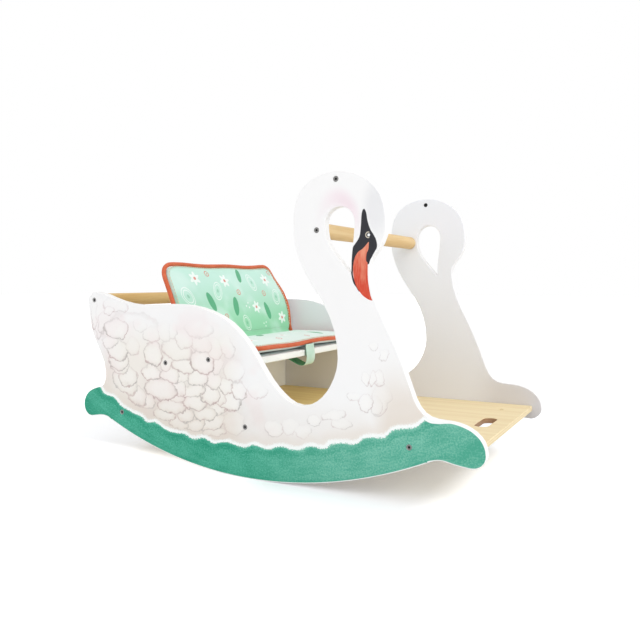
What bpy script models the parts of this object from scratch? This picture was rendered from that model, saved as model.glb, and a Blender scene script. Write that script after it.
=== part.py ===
"""Rocking swan for a small child.

Two swan-shaped plywood side panels stand on their own rockers. A foot board, a seat board with its riser
and backrest, a handlebar and a rear rail join them, and a folding cushion lies on the seat.

Metres, +Z up. +X points to the swan's beak, and the origin is on the ground under the middle of the toy.
"""

import math

import bmesh
import bpy
from mathutils import Matrix, Vector

# Clearances
FIT = 0.0003
SCREW_PLAY = 0.0003

# Side panels
CABIN_WIDTH = 0.395
PANEL_THICKNESS = 0.015
PANEL_EDGE_ROUND = 0.0025

# Rockers and their wave-shaped ends
ROCKER_RADIUS = 0.760
ROCKER_LOW_X = -0.004
ROCKER_REACH = 0.3185
ROCKER_FACETS = 35
FRONT_TIP_X = 0.3975
FRONT_WAVE_HEIGHT = 0.0618
REAR_TIP_X = -0.3975
REAR_WAVE_HEIGHT = 0.0623

# Head, with the loop between bill and neck
HEAD_X = 0.158
HEAD_TOP_Z = 0.506
LOOP_SHIFT = 0.0065
LOOP_DROP = 0.0805
LOOP_RADIUS = 0.0257
LOOP_TIP_RADIUS = 0.003
LOOP_FACETS = 14

# Chest, and the low opening where the child steps in
CHEST_X = 0.284
CHEST_Z = 0.173
STEP_IN_X = 0.093
STEP_IN_Z = 0.1338

# Wing and tail
WING_TOP_X = -0.176
WING_TOP_Z = 0.295
TAIL_X = -0.3815
TAIL_TOP_Z = 0.3155
TAIL_ROOT_X = -0.3385
TAIL_ROOT_Z = 0.161

# Handlebar, behind the loop, and the rail between the tails
HANDLE_RADIUS = 0.0125
HANDLE_WEB = 0.0024
HANDLE_DROP = 0.0094
RAIL_RADIUS = 0.0125
RAIL_INSET = 0.004
RAIL_DROP = 0.0033
BAR_END_CHAMFER = 0.0008

# Foot board, the floor of the toy
FLOOR_TOP_Z = 0.093
FLOOR_THICKNESS = 0.010
FLOOR_FRONT_SETBACK = 0.017
FLOOR_REAR_SETBACK = 0.0815
FLOOR_CORNER_RADIUS = 0.004
SLOT_LENGTH = 0.082
SLOT_WIDTH = 0.024
SLOT_SETBACK = 0.0275
LACE_HOLE_RADIUS = 0.0055
LACE_HOLE_SETBACK = 0.0454
LACE_HOLE_INSET = 0.0656

# Seat board and the riser that closes the space below it
SEAT_TOP_Z = 0.205
SEAT_THICKNESS = 0.012
SEAT_FRONT_X = -0.001
RISER_FRONT_X = -0.183
RISER_THICKNESS = 0.012

# Backrest board, which leans back behind its cushion
BACKREST_LEAN = math.radians(21.0)
BACKREST_SIDE_GAP = 0.0375
BACKREST_TOP_Z = 0.352
BACKREST_THICKNESS = 0.012
BACKREST_INSET = 0.0044
BACKREST_CORNER_RADIUS = 0.030
BOARD_EDGE_ROUND = 0.0015

# Cushion: two pads in one cover, with piping round both
PAD_THICKNESS = 0.022
SEAT_PAD_BELOW_SEAM = 0.0135
SEAT_PAD_ABOVE_SEAM = 0.0070
PAD_EDGE_FALL = 0.014
PAD_CROWN = 0.0025
PAD_CORNER_RADIUS = 0.016
PAD_DRAW_IN = 0.0025
SEAT_PAD_SIDE_GAP = 0.0072
SEAT_PAD_SETBACK = 0.0045
BACK_PAD_INSET = 0.010
BACK_PAD_HEIGHT = 0.154
FOLD_GAP = 0.003
FOLD_THICKNESS = 0.001
FOLD_INSET = 0.023
PIPING_RADIUS = 0.0035
PIPING_BEND = 0.0105

# Strap that holds the cushion round the seat board's front edge
STRAP_WIDTH = 0.032
STRAP_SHIFT = -0.016
STRAP_THICKNESS = 0.0016
STRAP_STANDOFF = 0.0035
STRAP_DROP = 0.0175
STRAP_BELLY = 0.001
STRAP_TURN = 0.010
STRAP_RISE = 0.020
STRAP_GRIP_START = 0.052
STRAP_GRIP_LENGTH = 0.040
PATCH_THICKNESS = 0.0012

# Screws, sunk bolts and the pins that locate the boards
HEAD_RADIUS = 0.0045
HEAD_HEIGHT = 0.0028
HEAD_SINK = 0.0004
HOLE_MOUTH = 0.005
SOCKET_ACROSS_FLATS = 0.004
SOCKET_DEPTH = 0.0019
WOOD_SCREW_RADIUS = 0.0025
WOOD_SCREW_LENGTH = 0.045
WOOD_SCREW_POINT = 0.005
BOLT_RADIUS = 0.003
BOLT_LENGTH = 0.032
INSERT_RADIUS = 0.005
INSERT_LENGTH = 0.018
HEAD_SCREW_RADIUS = 0.002
HEAD_SCREW_LENGTH = 0.012
HEAD_SCREW_DROP = 0.0122
SLEEVE_RADIUS = 0.003
SLEEVE_CAP_RADIUS = 0.004
SLEEVE_CAP_HEIGHT = 0.0012
SLEEVE_LENGTH = 0.009
FLOOR_SCREW_REAR_INSET = 0.0185
FLOOR_SCREW_MIDDLE_X = -0.015
FLOOR_SCREW_FRONT_INSET = 0.099
RISER_SCREW_DROP = 0.017
BACKREST_SCREW_LENGTH = 0.038
BACKREST_SCREW_INSET = 0.050
PIN_RADIUS = 0.003
PIN_LENGTH = 0.022
PIN_SEAT_DEPTH = 0.015
PIN_SCREW_GAP = 0.010
TURNED_SIDES = 12

# Largest turn and length of one straight piece in a smooth outline
OUTLINE_TURN = 11.0
OUTLINE_STEP = 0.025

# Places worked out from the sizes above
INNER_Y = CABIN_WIDTH / 2
OUTER_Y = INNER_Y + PANEL_THICKNESS
ROCKER_HALF_ANGLE = math.degrees(math.asin(ROCKER_REACH / ROCKER_RADIUS))
ROCKER_CENTRE_Z = ROCKER_RADIUS * math.cos(math.radians(ROCKER_HALF_ANGLE / ROCKER_FACETS))
ROCKER_END_Z = ROCKER_CENTRE_Z - ROCKER_RADIUS * math.cos(math.radians(ROCKER_HALF_ANGLE))
LOOP_X = HEAD_X + LOOP_SHIFT
LOOP_Z = HEAD_TOP_Z - LOOP_DROP
HANDLE_X = LOOP_X - LOOP_RADIUS - HANDLE_WEB - HANDLE_RADIUS
HANDLE_Z = LOOP_Z - HANDLE_DROP
RAIL_X = TAIL_X + RAIL_INSET + RAIL_RADIUS
RAIL_Z = TAIL_TOP_Z - RAIL_DROP - RAIL_RADIUS
FLOOR_FRONT_X = FRONT_TIP_X - FLOOR_FRONT_SETBACK
FLOOR_REAR_X = REAR_TIP_X + FLOOR_REAR_SETBACK
SEAT_REAR_X = RISER_FRONT_X + FIT
RISER_MIDDLE_X = RISER_FRONT_X - RISER_THICKNESS / 2
PIPING_OFFSET = PIPING_RADIUS + FIT
SEAT_PAD_WIDTH = CABIN_WIDTH - 2 * (SEAT_PAD_SIDE_GAP + PIPING_OFFSET + PIPING_RADIUS)
BACK_PAD_WIDTH = SEAT_PAD_WIDTH - 2 * BACK_PAD_INSET
FOLD_WIDTH = SEAT_PAD_WIDTH - 2 * FOLD_INSET
BACKREST_WIDTH = CABIN_WIDTH - 2 * BACKREST_SIDE_GAP
SEAM_Z = SEAT_TOP_Z + FIT + SEAT_PAD_BELOW_SEAM
BACKREST_BACK_X = RISER_FRONT_X + BACKREST_INSET
BACKREST_SCREW_SPACING = BACKREST_WIDTH / 2 - BACKREST_SCREW_INSET
PIN_SPACING = BACKREST_SCREW_SPACING - PIN_SCREW_GAP
BACKREST_FRONT_X = BACKREST_BACK_X + BACKREST_THICKNESS / math.cos(BACKREST_LEAN)
FOLD_X = (
    BACKREST_FRONT_X
    + (PAD_THICKNESS / 2 + FIT) / math.cos(BACKREST_LEAN)
    - (SEAM_Z - SEAT_TOP_Z) * math.tan(BACKREST_LEAN)
)
UP_THE_BACK = Vector((-math.sin(BACKREST_LEAN), 0.0, math.cos(BACKREST_LEAN)))


# Outlines, as lists of (x, z) points


def arc(centre_x, centre_z, radius, start, end, steps):
    """Points on a circle from one angle to another, in degrees."""
    angles = [math.radians(start + (end - start) * i / steps) for i in range(steps + 1)]
    return [(centre_x + radius * math.cos(a), centre_z + radius * math.sin(a)) for a in angles]


def smooth_run(knots):
    """Points on a smooth curve through knots of (x, z, heading in degrees)."""
    points = [knots[0][:2]]
    for (x0, z0, heading0), (x1, z1, heading1) in zip(knots, knots[1:]):
        turn = (heading1 - heading0 + 180) % 360 - 180
        chord = math.hypot(x1 - x0, z1 - z0)
        handle = chord / (3 * math.cos(math.radians(turn / 4)) ** 2)
        start, end = Vector((x0, z0)), Vector((x1, z1))
        leave = Vector((math.cos(math.radians(heading0)), math.sin(math.radians(heading0))))
        arrive = Vector((math.cos(math.radians(heading1)), math.sin(math.radians(heading1))))
        steps = max(2, math.ceil(abs(turn) / OUTLINE_TURN), math.ceil(chord / OUTLINE_STEP))
        for i in range(1, steps + 1):
            t = i / steps
            s = 1 - t
            point = s**3 * start + 3 * s * s * t * (start + handle * leave)
            point += 3 * s * t * t * (end - handle * arrive) + t**3 * end
            points.append((point.x, point.y))
    return points


def swan_outline():
    """The side panel's edge, anticlockwise from the rear end of the rocker."""
    rocker = arc(
        ROCKER_LOW_X,
        ROCKER_CENTRE_Z,
        ROCKER_RADIUS,
        -90 - ROCKER_HALF_ANGLE,
        -90 + ROCKER_HALF_ANGLE,
        ROCKER_FACETS,
    )
    front_x = rocker[-1][0]
    rear_x = rocker[0][0]
    end_z = ROCKER_END_Z
    front_wave = [
        (front_x, end_z, ROCKER_HALF_ANGLE),
        (front_x + 0.019, end_z + 0.0036, -8),
        (FRONT_TIP_X - 0.0205, end_z - 0.003, 2),
        (FRONT_TIP_X, end_z + 0.0183, 90),
        (FRONT_TIP_X - 0.0525, end_z + FRONT_WAVE_HEIGHT, 176),
    ]
    chest = [
        (CHEST_X + 0.019, CHEST_Z - 0.0325, 140),
        (CHEST_X, CHEST_Z, 110),
        (CHEST_X - 0.0375, CHEST_Z + 0.087, 118),
    ]
    head = [
        (HEAD_X + 0.0568, HEAD_TOP_Z - 0.156, 92),
        (HEAD_X + 0.063, HEAD_TOP_Z - 0.133, 50),
        (HEAD_X + 0.084, HEAD_TOP_Z - 0.088, 90),
        (HEAD_X + 0.066, HEAD_TOP_Z - 0.0275, 133),
        (HEAD_X, HEAD_TOP_Z, 180),
        (HEAD_X - 0.057, HEAD_TOP_Z - 0.0195, 222),
        (HEAD_X - 0.0765, HEAD_TOP_Z - 0.076, -90),
        (HEAD_X - 0.0735, HEAD_TOP_Z - 0.113, -74),
        (HEAD_X - 0.049, HEAD_TOP_Z - 0.167, -57),
        (HEAD_X - 0.0115, HEAD_TOP_Z - 0.225, -65),
    ]
    step_in = [
        (STEP_IN_X + 0.0685, STEP_IN_Z + 0.080, -91),
        (STEP_IN_X + 0.055, STEP_IN_Z + 0.036, -120),
        (STEP_IN_X, STEP_IN_Z, 180),
        (STEP_IN_X - 0.047, STEP_IN_Z + 0.0262, 137),
        (STEP_IN_X - 0.093, STEP_IN_Z + 0.088, 128),
    ]
    wing = [
        (WING_TOP_X + 0.131, WING_TOP_Z - 0.030, 146),
        (WING_TOP_X + 0.067, WING_TOP_Z - 0.005, 166),
        (WING_TOP_X, WING_TOP_Z, 180),
        (WING_TOP_X - 0.072, WING_TOP_Z - 0.0025, 179),
    ]
    tail = [
        (TAIL_X + 0.0635, TAIL_TOP_Z - 0.0105, 163),
        (TAIL_X + 0.0225, TAIL_TOP_Z, 180),
        (TAIL_X, TAIL_TOP_Z - 0.0175, -90),
        (TAIL_X + 0.005, TAIL_TOP_Z - 0.059, -82),
        (TAIL_X + 0.0195, TAIL_TOP_Z - 0.0975, -62),
        (TAIL_ROOT_X, TAIL_ROOT_Z, -90),
    ]
    rear_wave = [
        (TAIL_ROOT_X - 0.005, end_z + REAR_WAVE_HEIGHT + 0.0077, -118),
        (TAIL_ROOT_X - 0.0195, end_z + REAR_WAVE_HEIGHT, -170),
        (REAR_TIP_X, end_z + 0.0253, -90),
        (REAR_TIP_X + 0.0195, end_z + 0.0033, 0),
        (REAR_TIP_X + 0.051, end_z + 0.0076, -2),
        (rear_x, end_z, -ROCKER_HALF_ANGLE),
    ]
    return rocker + smooth_run(front_wave + chest + head + step_in + wing + tail + rear_wave)[1:-1]


def loop_outline():
    """The teardrop loop: round above, drawn out below to a point beside the throat."""
    top = arc(LOOP_X, LOOP_Z, LOOP_RADIUS, 0, 180, LOOP_FACETS)
    tip_x = LOOP_X + 0.0185
    tip_z = LOOP_Z - 0.076
    rest = smooth_run(
        [
            (LOOP_X - LOOP_RADIUS, LOOP_Z, -90),
            (LOOP_X - 0.0188, LOOP_Z - 0.0325, -60),
            (LOOP_X + 0.0065, LOOP_Z - 0.0635, -48),
            (tip_x - LOOP_TIP_RADIUS / 2, tip_z, -48),
            (tip_x + LOOP_TIP_RADIUS / 2, tip_z + LOOP_TIP_RADIUS, 92),
            (LOOP_X + 0.0215, LOOP_Z - 0.0435, 84),
            (LOOP_X + LOOP_RADIUS, LOOP_Z, 90),
        ]
    )
    return top + rest[1:-1]


def rounded_rectangle(length, width, radii, steps=5):
    """Points round a rectangle centred on the origin; radii are those of its corners, anticlockwise from the
    corner at the positive end of both axes."""
    corners = [(1, 1, 0), (-1, 1, 90), (-1, -1, 180), (1, -1, 270)]
    points = []
    for (sign_x, sign_y, start), radius in zip(corners, radii):
        centre_x = sign_x * (length / 2 - radius)
        centre_y = sign_y * (width / 2 - radius)
        points += arc(centre_x, centre_y, radius, start, start + 90, steps)
    return points


def ribbon_outline(centreline, thickness):
    """The closed outline of a strip of even thickness along an open line of points."""
    line = [Vector(point) for point in centreline]
    left, right = [], []
    for i, point in enumerate(line):
        along = (line[min(i + 1, len(line) - 1)] - line[max(i - 1, 0)]).normalized()
        side = Vector((-along.y, along.x)) * thickness / 2
        left.append(tuple(point + side))
        right.append(tuple(point - side))
    return left + right[::-1]


# Making objects


def finish(name, colour, roughness, metallic=0.0):
    """A plain material of the part's own colour."""
    material = bpy.data.materials.new(name)
    material.use_nodes = True
    shader = material.node_tree.nodes["Principled BSDF"]
    shader.inputs["Base Color"].default_value = (*colour, 1.0)
    shader.inputs["Roughness"].default_value = roughness
    shader.inputs["Metallic"].default_value = metallic
    return material


def place(name, mesh, material=None, location=(0, 0, 0), rotation=None, smooth=30.0):
    """Adds a mesh to the scene as a named object under the toy's empty."""
    placed = bpy.data.objects.new(name, mesh)
    bpy.context.scene.collection.objects.link(placed)
    placed.location = location
    if rotation is not None:
        placed.rotation_euler = rotation
    if material is not None:
        mesh.materials.clear()
        mesh.materials.append(material)
        placed.parent = bpy.data.objects["rocking_swan"]
    mesh.shade_smooth()
    mesh.set_sharp_from_angle(angle=math.radians(smooth))
    return placed


def mesh_from(name, build):
    """A mesh with faces out, from a function that fills a bmesh."""
    bm = bmesh.new()
    build(bm)
    bmesh.ops.recalc_face_normals(bm, faces=bm.faces)
    mesh = bpy.data.meshes.new(name)
    bm.to_mesh(mesh)
    bm.free()
    return mesh


def prism(name, outline, low, high, across="Y"):
    """An outline extruded along an axis: (x, z) outlines along Y, and (x, y) outlines along Z."""

    def build(bm):
        if across == "Y":
            verts = [bm.verts.new((a, low, b)) for a, b in outline]
            shift = Vector((0, high - low, 0))
        else:
            verts = [bm.verts.new((a, b, low)) for a, b in outline]
            shift = Vector((0, 0, high - low))
        face = bm.faces.new(verts)
        extruded = bmesh.ops.extrude_face_region(bm, geom=[face], use_keep_orig=True)
        moved = [item for item in extruded["geom"] if isinstance(item, bmesh.types.BMVert)]
        bmesh.ops.translate(bm, verts=moved, vec=shift)

    return mesh_from(name, build)


def turned(name, profile, sides=TURNED_SIDES):
    """A profile of (radius, height) points spun once round Z. Its ends are on the axis, or it is a loop."""

    def build(bm):
        verts = [bm.verts.new((radius, 0, height)) for radius, height in profile]
        pairs = list(zip(verts, verts[1:]))
        if profile[0][0] > 0:
            pairs.append((verts[-1], verts[0]))
        edges = [bm.edges.new(pair) for pair in pairs]
        bmesh.ops.spin(
            bm,
            geom=verts + edges,
            cent=(0, 0, 0),
            axis=(0, 0, 1),
            angle=2 * math.pi,
            steps=sides,
            use_merge=True,
        )
        bmesh.ops.remove_doubles(bm, verts=bm.verts, dist=1e-6)

    return mesh_from(name, build)


def copies(name, mesh, matrices):
    """One mesh of several separate copies of another."""

    def build(bm):
        for matrix in matrices:
            before = len(bm.verts)
            bm.from_mesh(mesh)
            bm.verts.ensure_lookup_table()
            bmesh.ops.transform(bm, matrix=matrix, verts=bm.verts[before:])

    return mesh_from(name, build)


def cut(target, cutter, name):
    """Takes a hidden cutter out of an object."""
    modifier = target.modifiers.new(name, "BOOLEAN")
    modifier.operation = "DIFFERENCE"
    modifier.solver = "EXACT"
    modifier.object = cutter


def hide_cutter(cutter):
    cutter.hide_render = True
    cutter.display_type = "WIRE"
    return cutter


def ease_edges(target, width, angle=60.0, segments=2):
    """Rounds the sharp edges of an object."""
    modifier = target.modifiers.new("eased_edges", "BEVEL")
    modifier.width = width
    modifier.segments = segments
    modifier.limit_method = "ANGLE"
    modifier.angle_limit = math.radians(angle)


def box_mesh(name, size):
    """A box centred on the origin."""

    def build(bm):
        bmesh.ops.create_cube(bm, size=1.0)
        bmesh.ops.scale(bm, vec=size, verts=bm.verts)

    return mesh_from(name, build)


# Fasteners: each kind gives a screw and the hole that it sits in, head up at z = 0


def screw_meshes(name, shank_radius, length, point):
    """A sunk screw with a hexagon socket, and its hole as a cutter."""
    hole_shank = shank_radius + SCREW_PLAY
    hole_head = HEAD_RADIUS + SCREW_PLAY
    head_base = -HEAD_SINK - HEAD_HEIGHT
    blank = turned(
        name + "_blank",
        [
            (0, -HEAD_SINK),
            (HEAD_RADIUS, -HEAD_SINK),
            (HEAD_RADIUS, head_base),
            (shank_radius, head_base),
            (shank_radius, -length + point),
            (shank_radius / 2, -length),
            (0, -length),
        ],
    )
    socket_radius = SOCKET_ACROSS_FLATS / 2 / math.cos(math.pi / 6)
    socket = prism(
        name + "_socket",
        arc(0, 0, socket_radius, 0, 300, 5),
        -HEAD_SINK - SOCKET_DEPTH,
        SOCKET_DEPTH,
        across="Z",
    )
    screw = place(name + "_model", blank)
    key = place(name + "_key", socket)
    cut(screw, key, "socket")
    graph = bpy.context.evaluated_depsgraph_get()
    finished = bpy.data.meshes.new_from_object(screw.evaluated_get(graph))
    for helper in (screw, key):
        bpy.data.objects.remove(helper)
    hole = turned(
        name + "_hole",
        [
            (0, HOLE_MOUTH),
            (hole_head, HOLE_MOUTH),
            (hole_head, head_base - SCREW_PLAY),
            (hole_shank, head_base - SCREW_PLAY),
            (hole_shank, -length - SCREW_PLAY),
            (0, -length - SCREW_PLAY),
        ],
    )
    return finished, hole


def outward(side, x, z, y=OUTER_Y):
    """Turns a screw's head to face out of the panel on that side, at (x, z)."""
    turn = Matrix.Rotation(-side * math.pi / 2, 4, "X")
    return Matrix.Translation((x, side * y, z)) @ turn


def both_sides(spots):
    return [outward(side, x, z) for x, z in spots for side in (-1, 1)]


def inward_at(spot):
    """Turns a fastener to face into the cabin, its head level with each panel's inner face."""
    return [outward(-side, *spot, y=-INNER_Y) for side in (-1, 1)]


def fasteners(name, meshes, matrices, material, parts):
    """Places like screws, which share one mesh, and drills their holes in the parts that they pass through."""
    screw, hole = meshes
    for number, matrix in enumerate(matrices, 1):
        label = f"{name}_{number}"
        place(label, screw, material, location=matrix.translation, rotation=matrix.to_euler())
    drill = hide_cutter(place("drill_" + name, copies("drill_" + name, hole, matrices)))
    for part in parts:
        cut(part, drill, "holes_for_" + name)


def sleeve_meshes():
    """The threaded sleeve that takes a head screw from inside the panel, its cap at z = 0, and its hole."""
    bore = HEAD_SCREW_RADIUS + SCREW_PLAY
    cap_base = -HEAD_SINK - SLEEVE_CAP_HEIGHT
    sleeve = turned(
        "head_sleeve",
        [
            (bore, -HEAD_SINK),
            (SLEEVE_CAP_RADIUS, -HEAD_SINK),
            (SLEEVE_CAP_RADIUS, cap_base),
            (SLEEVE_RADIUS, cap_base),
            (SLEEVE_RADIUS, -SLEEVE_LENGTH),
            (bore, -SLEEVE_LENGTH),
        ],
    )
    hole = turned(
        "head_sleeve_hole",
        [
            (0, HOLE_MOUTH),
            (SLEEVE_CAP_RADIUS + SCREW_PLAY, HOLE_MOUTH),
            (SLEEVE_CAP_RADIUS + SCREW_PLAY, cap_base - SCREW_PLAY),
            (SLEEVE_RADIUS + SCREW_PLAY, cap_base - SCREW_PLAY),
            (SLEEVE_RADIUS + SCREW_PLAY, -SLEEVE_LENGTH - SCREW_PLAY),
            (0, -SLEEVE_LENGTH - SCREW_PLAY),
        ],
    )
    return sleeve, hole


def pin_meshes():
    """A plain pin from z = 0 up, set deepest at its lower end, and its hole."""
    spans = (("pin", PIN_RADIUS, 0), ("pin_hole", PIN_RADIUS + SCREW_PLAY, SCREW_PLAY))
    return [
        turned(
            name,
            [(0, PIN_LENGTH + play), (radius, PIN_LENGTH + play), (radius, -play), (0, -play)],
        )
        for name, radius, play in spans
    ]


# Rigid pieces


def side_panels(material):
    """The swan on each side, with its loop cut through and its edges rounded over."""
    panels = []
    outline = swan_outline()
    loop = hide_cutter(place("loop_cutter", prism("loop_cutter", loop_outline(), -2 * OUTER_Y, 2 * OUTER_Y)))
    for name, side in (("right_side_panel", -1), ("left_side_panel", 1)):
        low, high = sorted((side * INNER_Y, side * OUTER_Y))
        panel = place(name, prism(name, outline, low, high), material)
        cut(panel, loop, "neck_loop")
        ease_edges(panel, PANEL_EDGE_ROUND)
        panels.append(panel)
    return panels


def crossbar(name, radius, x, z, material):
    """A turned wooden bar between the panels, bored at both ends for its threaded inserts."""
    half = INNER_Y - FIT
    bore = INSERT_RADIUS + SCREW_PLAY
    depth = INSERT_LENGTH + 2 * SCREW_PLAY
    chamfer = BAR_END_CHAMFER
    profile = [
        (0, half - depth),
        (bore, half - depth),
        (bore, half),
        (radius - chamfer, half),
        (radius, half - chamfer),
        (radius, -half + chamfer),
        (radius - chamfer, -half),
        (bore, -half),
        (bore, -half + depth),
        (0, -half + depth),
    ]
    mesh = turned(name, profile, sides=32)
    return place(name, mesh, material, location=(x, 0, z), rotation=(math.pi / 2, 0, 0))


def bar_inserts(name, x, z, material):
    """The threaded sleeve in each end of a bar, its face level with the end of the wood."""
    bore = BOLT_RADIUS + SCREW_PLAY
    mesh = turned(
        name + "_one",
        [(bore, 0), (INSERT_RADIUS, 0), (INSERT_RADIUS, -INSERT_LENGTH), (bore, -INSERT_LENGTH)],
    )
    for number, side in enumerate((-1, 1), 1):
        matrix = outward(side, x, z, INNER_Y - FIT)
        label = f"{name}_{number}"
        place(label, mesh, material, location=matrix.translation, rotation=matrix.to_euler())


def foot_board(material):
    """The floor, with a hand slot near its front edge and a small hole at each front corner."""
    length = FLOOR_FRONT_X - FLOOR_REAR_X
    width = CABIN_WIDTH - 2 * FIT
    outline = rounded_rectangle(length, width, [FLOOR_CORNER_RADIUS] * 4, steps=3)
    mesh = prism("floor_board", outline, -FLOOR_THICKNESS / 2, FLOOR_THICKNESS / 2, across="Z")
    middle_x = (FLOOR_FRONT_X + FLOOR_REAR_X) / 2
    middle_z = FLOOR_TOP_Z - FLOOR_THICKNESS / 2
    board = place("floor_board", mesh, material, location=(middle_x, 0, middle_z))
    slot = prism(
        "slot_cutter",
        rounded_rectangle(SLOT_WIDTH, SLOT_LENGTH, [SLOT_WIDTH / 2] * 4),
        -FLOOR_THICKNESS,
        FLOOR_THICKNESS,
        across="Z",
    )
    slot_x = FLOOR_FRONT_X - SLOT_SETBACK - SLOT_WIDTH / 2
    cut(board, hide_cutter(place("slot_cutter", slot, location=(slot_x, 0, middle_z))), "hand_slot")
    hole = turned(
        "lace_hole",
        [
            (0, FLOOR_THICKNESS),
            (LACE_HOLE_RADIUS, FLOOR_THICKNESS),
            (LACE_HOLE_RADIUS, -FLOOR_THICKNESS),
            (0, -FLOOR_THICKNESS),
        ],
    )
    hole_x = FLOOR_FRONT_X - LACE_HOLE_SETBACK
    hole_y = INNER_Y - LACE_HOLE_INSET
    spots = [Matrix.Translation((hole_x, side * hole_y, middle_z)) for side in (-1, 1)]
    cut(board, hide_cutter(place("lace_hole_cutter", copies("lace_holes", hole, spots))), "lace_holes")
    ease_edges(board, BOARD_EDGE_ROUND)
    return board


def seat_board(material):
    size = (SEAT_FRONT_X - SEAT_REAR_X, CABIN_WIDTH - 2 * FIT, SEAT_THICKNESS)
    middle = ((SEAT_FRONT_X + SEAT_REAR_X) / 2, 0, SEAT_TOP_Z - SEAT_THICKNESS / 2)
    board = place("seat_board", box_mesh("seat_board", size), material, location=middle)
    ease_edges(board, BOARD_EDGE_ROUND)
    return board


def seat_riser(material):
    """The upright board from the floor to the top of the seat, against the seat's rear edge."""
    low = FLOOR_TOP_Z + FIT
    size = (RISER_THICKNESS, CABIN_WIDTH - 2 * FIT, SEAT_TOP_Z - low)
    middle = (RISER_MIDDLE_X, 0, (SEAT_TOP_Z + low) / 2)
    board = place("seat_riser", box_mesh("seat_riser", size), material, location=middle)
    ease_edges(board, BOARD_EDGE_ROUND)
    return board


def backrest_board(material):
    """A leaning board with round upper corners, standing on the seat board with its foot cut level."""
    low = SEAT_TOP_Z + FIT
    rise = BACKREST_TOP_Z - low
    thickness = BACKREST_THICKNESS / math.cos(BACKREST_LEAN)
    square = BOARD_EDGE_ROUND * 2
    corners = [BACKREST_CORNER_RADIUS, square, square, BACKREST_CORNER_RADIUS]
    outline = rounded_rectangle(rise, BACKREST_WIDTH, corners)
    mesh = prism("backrest_board", outline, 0, thickness, across="Z")
    stand = Matrix(((0, 0, 1, 0), (0, 1, 0, 0), (1, 0, 0, rise / 2), (0, 0, 0, 1)))
    lean = Matrix.Identity(4)
    lean[0][2] = -math.tan(BACKREST_LEAN)
    mesh.transform(lean @ stand)
    mesh.flip_normals()
    foot_x = BACKREST_BACK_X - FIT * math.tan(BACKREST_LEAN)
    board = place("backrest_board", mesh, material, location=(foot_x, 0, low))
    ease_edges(board, BOARD_EDGE_ROUND)
    return board


# Soft pieces


def pad_mesh(name, length, width, above, below):
    """A crowned pad with a sewn seam round it at z = 0, its sides drawn in between the corners."""
    corner_steps = 4
    side_steps = (4, 9)
    corners = rounded_rectangle(length, width, [PAD_CORNER_RADIUS] * 4, corner_steps)
    seam = []
    for i, point in enumerate(corners):
        start = Vector(point)
        seam.append(start)
        side, step = divmod(i, corner_steps + 1)
        if step < corner_steps:
            continue
        end = Vector(corners[(i + 1) % len(corners)])
        inward = Vector((0, -1)) if side % 2 == 0 else Vector((1, 0))
        if side >= 2:
            inward = -inward
        steps = side_steps[side % 2]
        for k in range(1, steps):
            t = k / steps
            seam.append(start.lerp(end, t) + inward * PAD_DRAW_IN * math.sin(math.pi * t))
    insets = [PAD_EDGE_FALL * share for share in (0, 0.06, 0.22, 0.5, 1, 2.1, 3.6)]

    def height(inset, rise):
        fall = 1 - min(inset / PAD_EDGE_FALL, 1)
        crown = 1 - (1 - inset / (length / 2)) ** 2
        return (rise - PAD_CROWN) * math.sqrt(1 - fall**2) + PAD_CROWN * crown

    def ring(bm, inset, level):
        scale = Vector((1 - 2 * inset / length, 1 - 2 * inset / width))
        return [bm.verts.new((point.x * scale.x, point.y * scale.y, level)) for point in seam]

    def build(bm):
        edge = ring(bm, 0, 0)
        for face, rise in ((1, above), (-1, below)):
            outer = edge
            for inset in insets[1:]:
                inner = ring(bm, inset, face * height(inset, rise))
                for i in range(len(seam)):
                    j = (i + 1) % len(seam)
                    bm.faces.new((outer[i], outer[j], inner[j], inner[i]))
                outer = inner
            bm.faces.new(outer)

    return mesh_from(name, build)


def back_matrix(up):
    """The back pad's frame: X up the back, Z out of its face, its origin that far up from the fold."""
    out = Vector((math.cos(BACKREST_LEAN), 0, math.sin(BACKREST_LEAN)))
    turn = Matrix((UP_THE_BACK, (0, -1, 0), out)).transposed().to_4x4()
    return Matrix.Translation(Vector((FOLD_X, 0, SEAM_Z)) + UP_THE_BACK * up) @ turn


def cushion(material):
    """The seat pad, the back pad and the strip of cover that joins them along the fold."""
    rear_x = FOLD_X + FOLD_GAP
    front_x = SEAT_FRONT_X - SEAT_PAD_SETBACK
    seat_length = front_x - rear_x
    seat = pad_mesh(
        "seat_cushion", seat_length, SEAT_PAD_WIDTH, SEAT_PAD_ABOVE_SEAM, SEAT_PAD_BELOW_SEAM
    )
    place("seat_cushion", seat, material, location=((front_x + rear_x) / 2, 0, SEAM_Z), smooth=60)
    half = PAD_THICKNESS / 2
    back = pad_mesh("back_cushion", BACK_PAD_HEIGHT, BACK_PAD_WIDTH, half, half)
    frame = back_matrix(FOLD_GAP + BACK_PAD_HEIGHT / 2)
    place("back_cushion", back, material, frame.translation, frame.to_euler(), smooth=60)
    corner = Vector((FOLD_X, SEAM_Z))
    lean = Vector((UP_THE_BACK.x, UP_THE_BACK.z))
    near_gap = FOLD_GAP - FIT
    start = corner + Vector((near_gap, 0))
    end = corner + lean * near_gap
    strip = ribbon_outline([tuple(start), tuple(corner), tuple(end)], FOLD_THICKNESS)
    mesh = prism("cushion_fold", strip, -FOLD_WIDTH / 2, FOLD_WIDTH / 2)
    place("cushion_fold", mesh, material)


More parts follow.
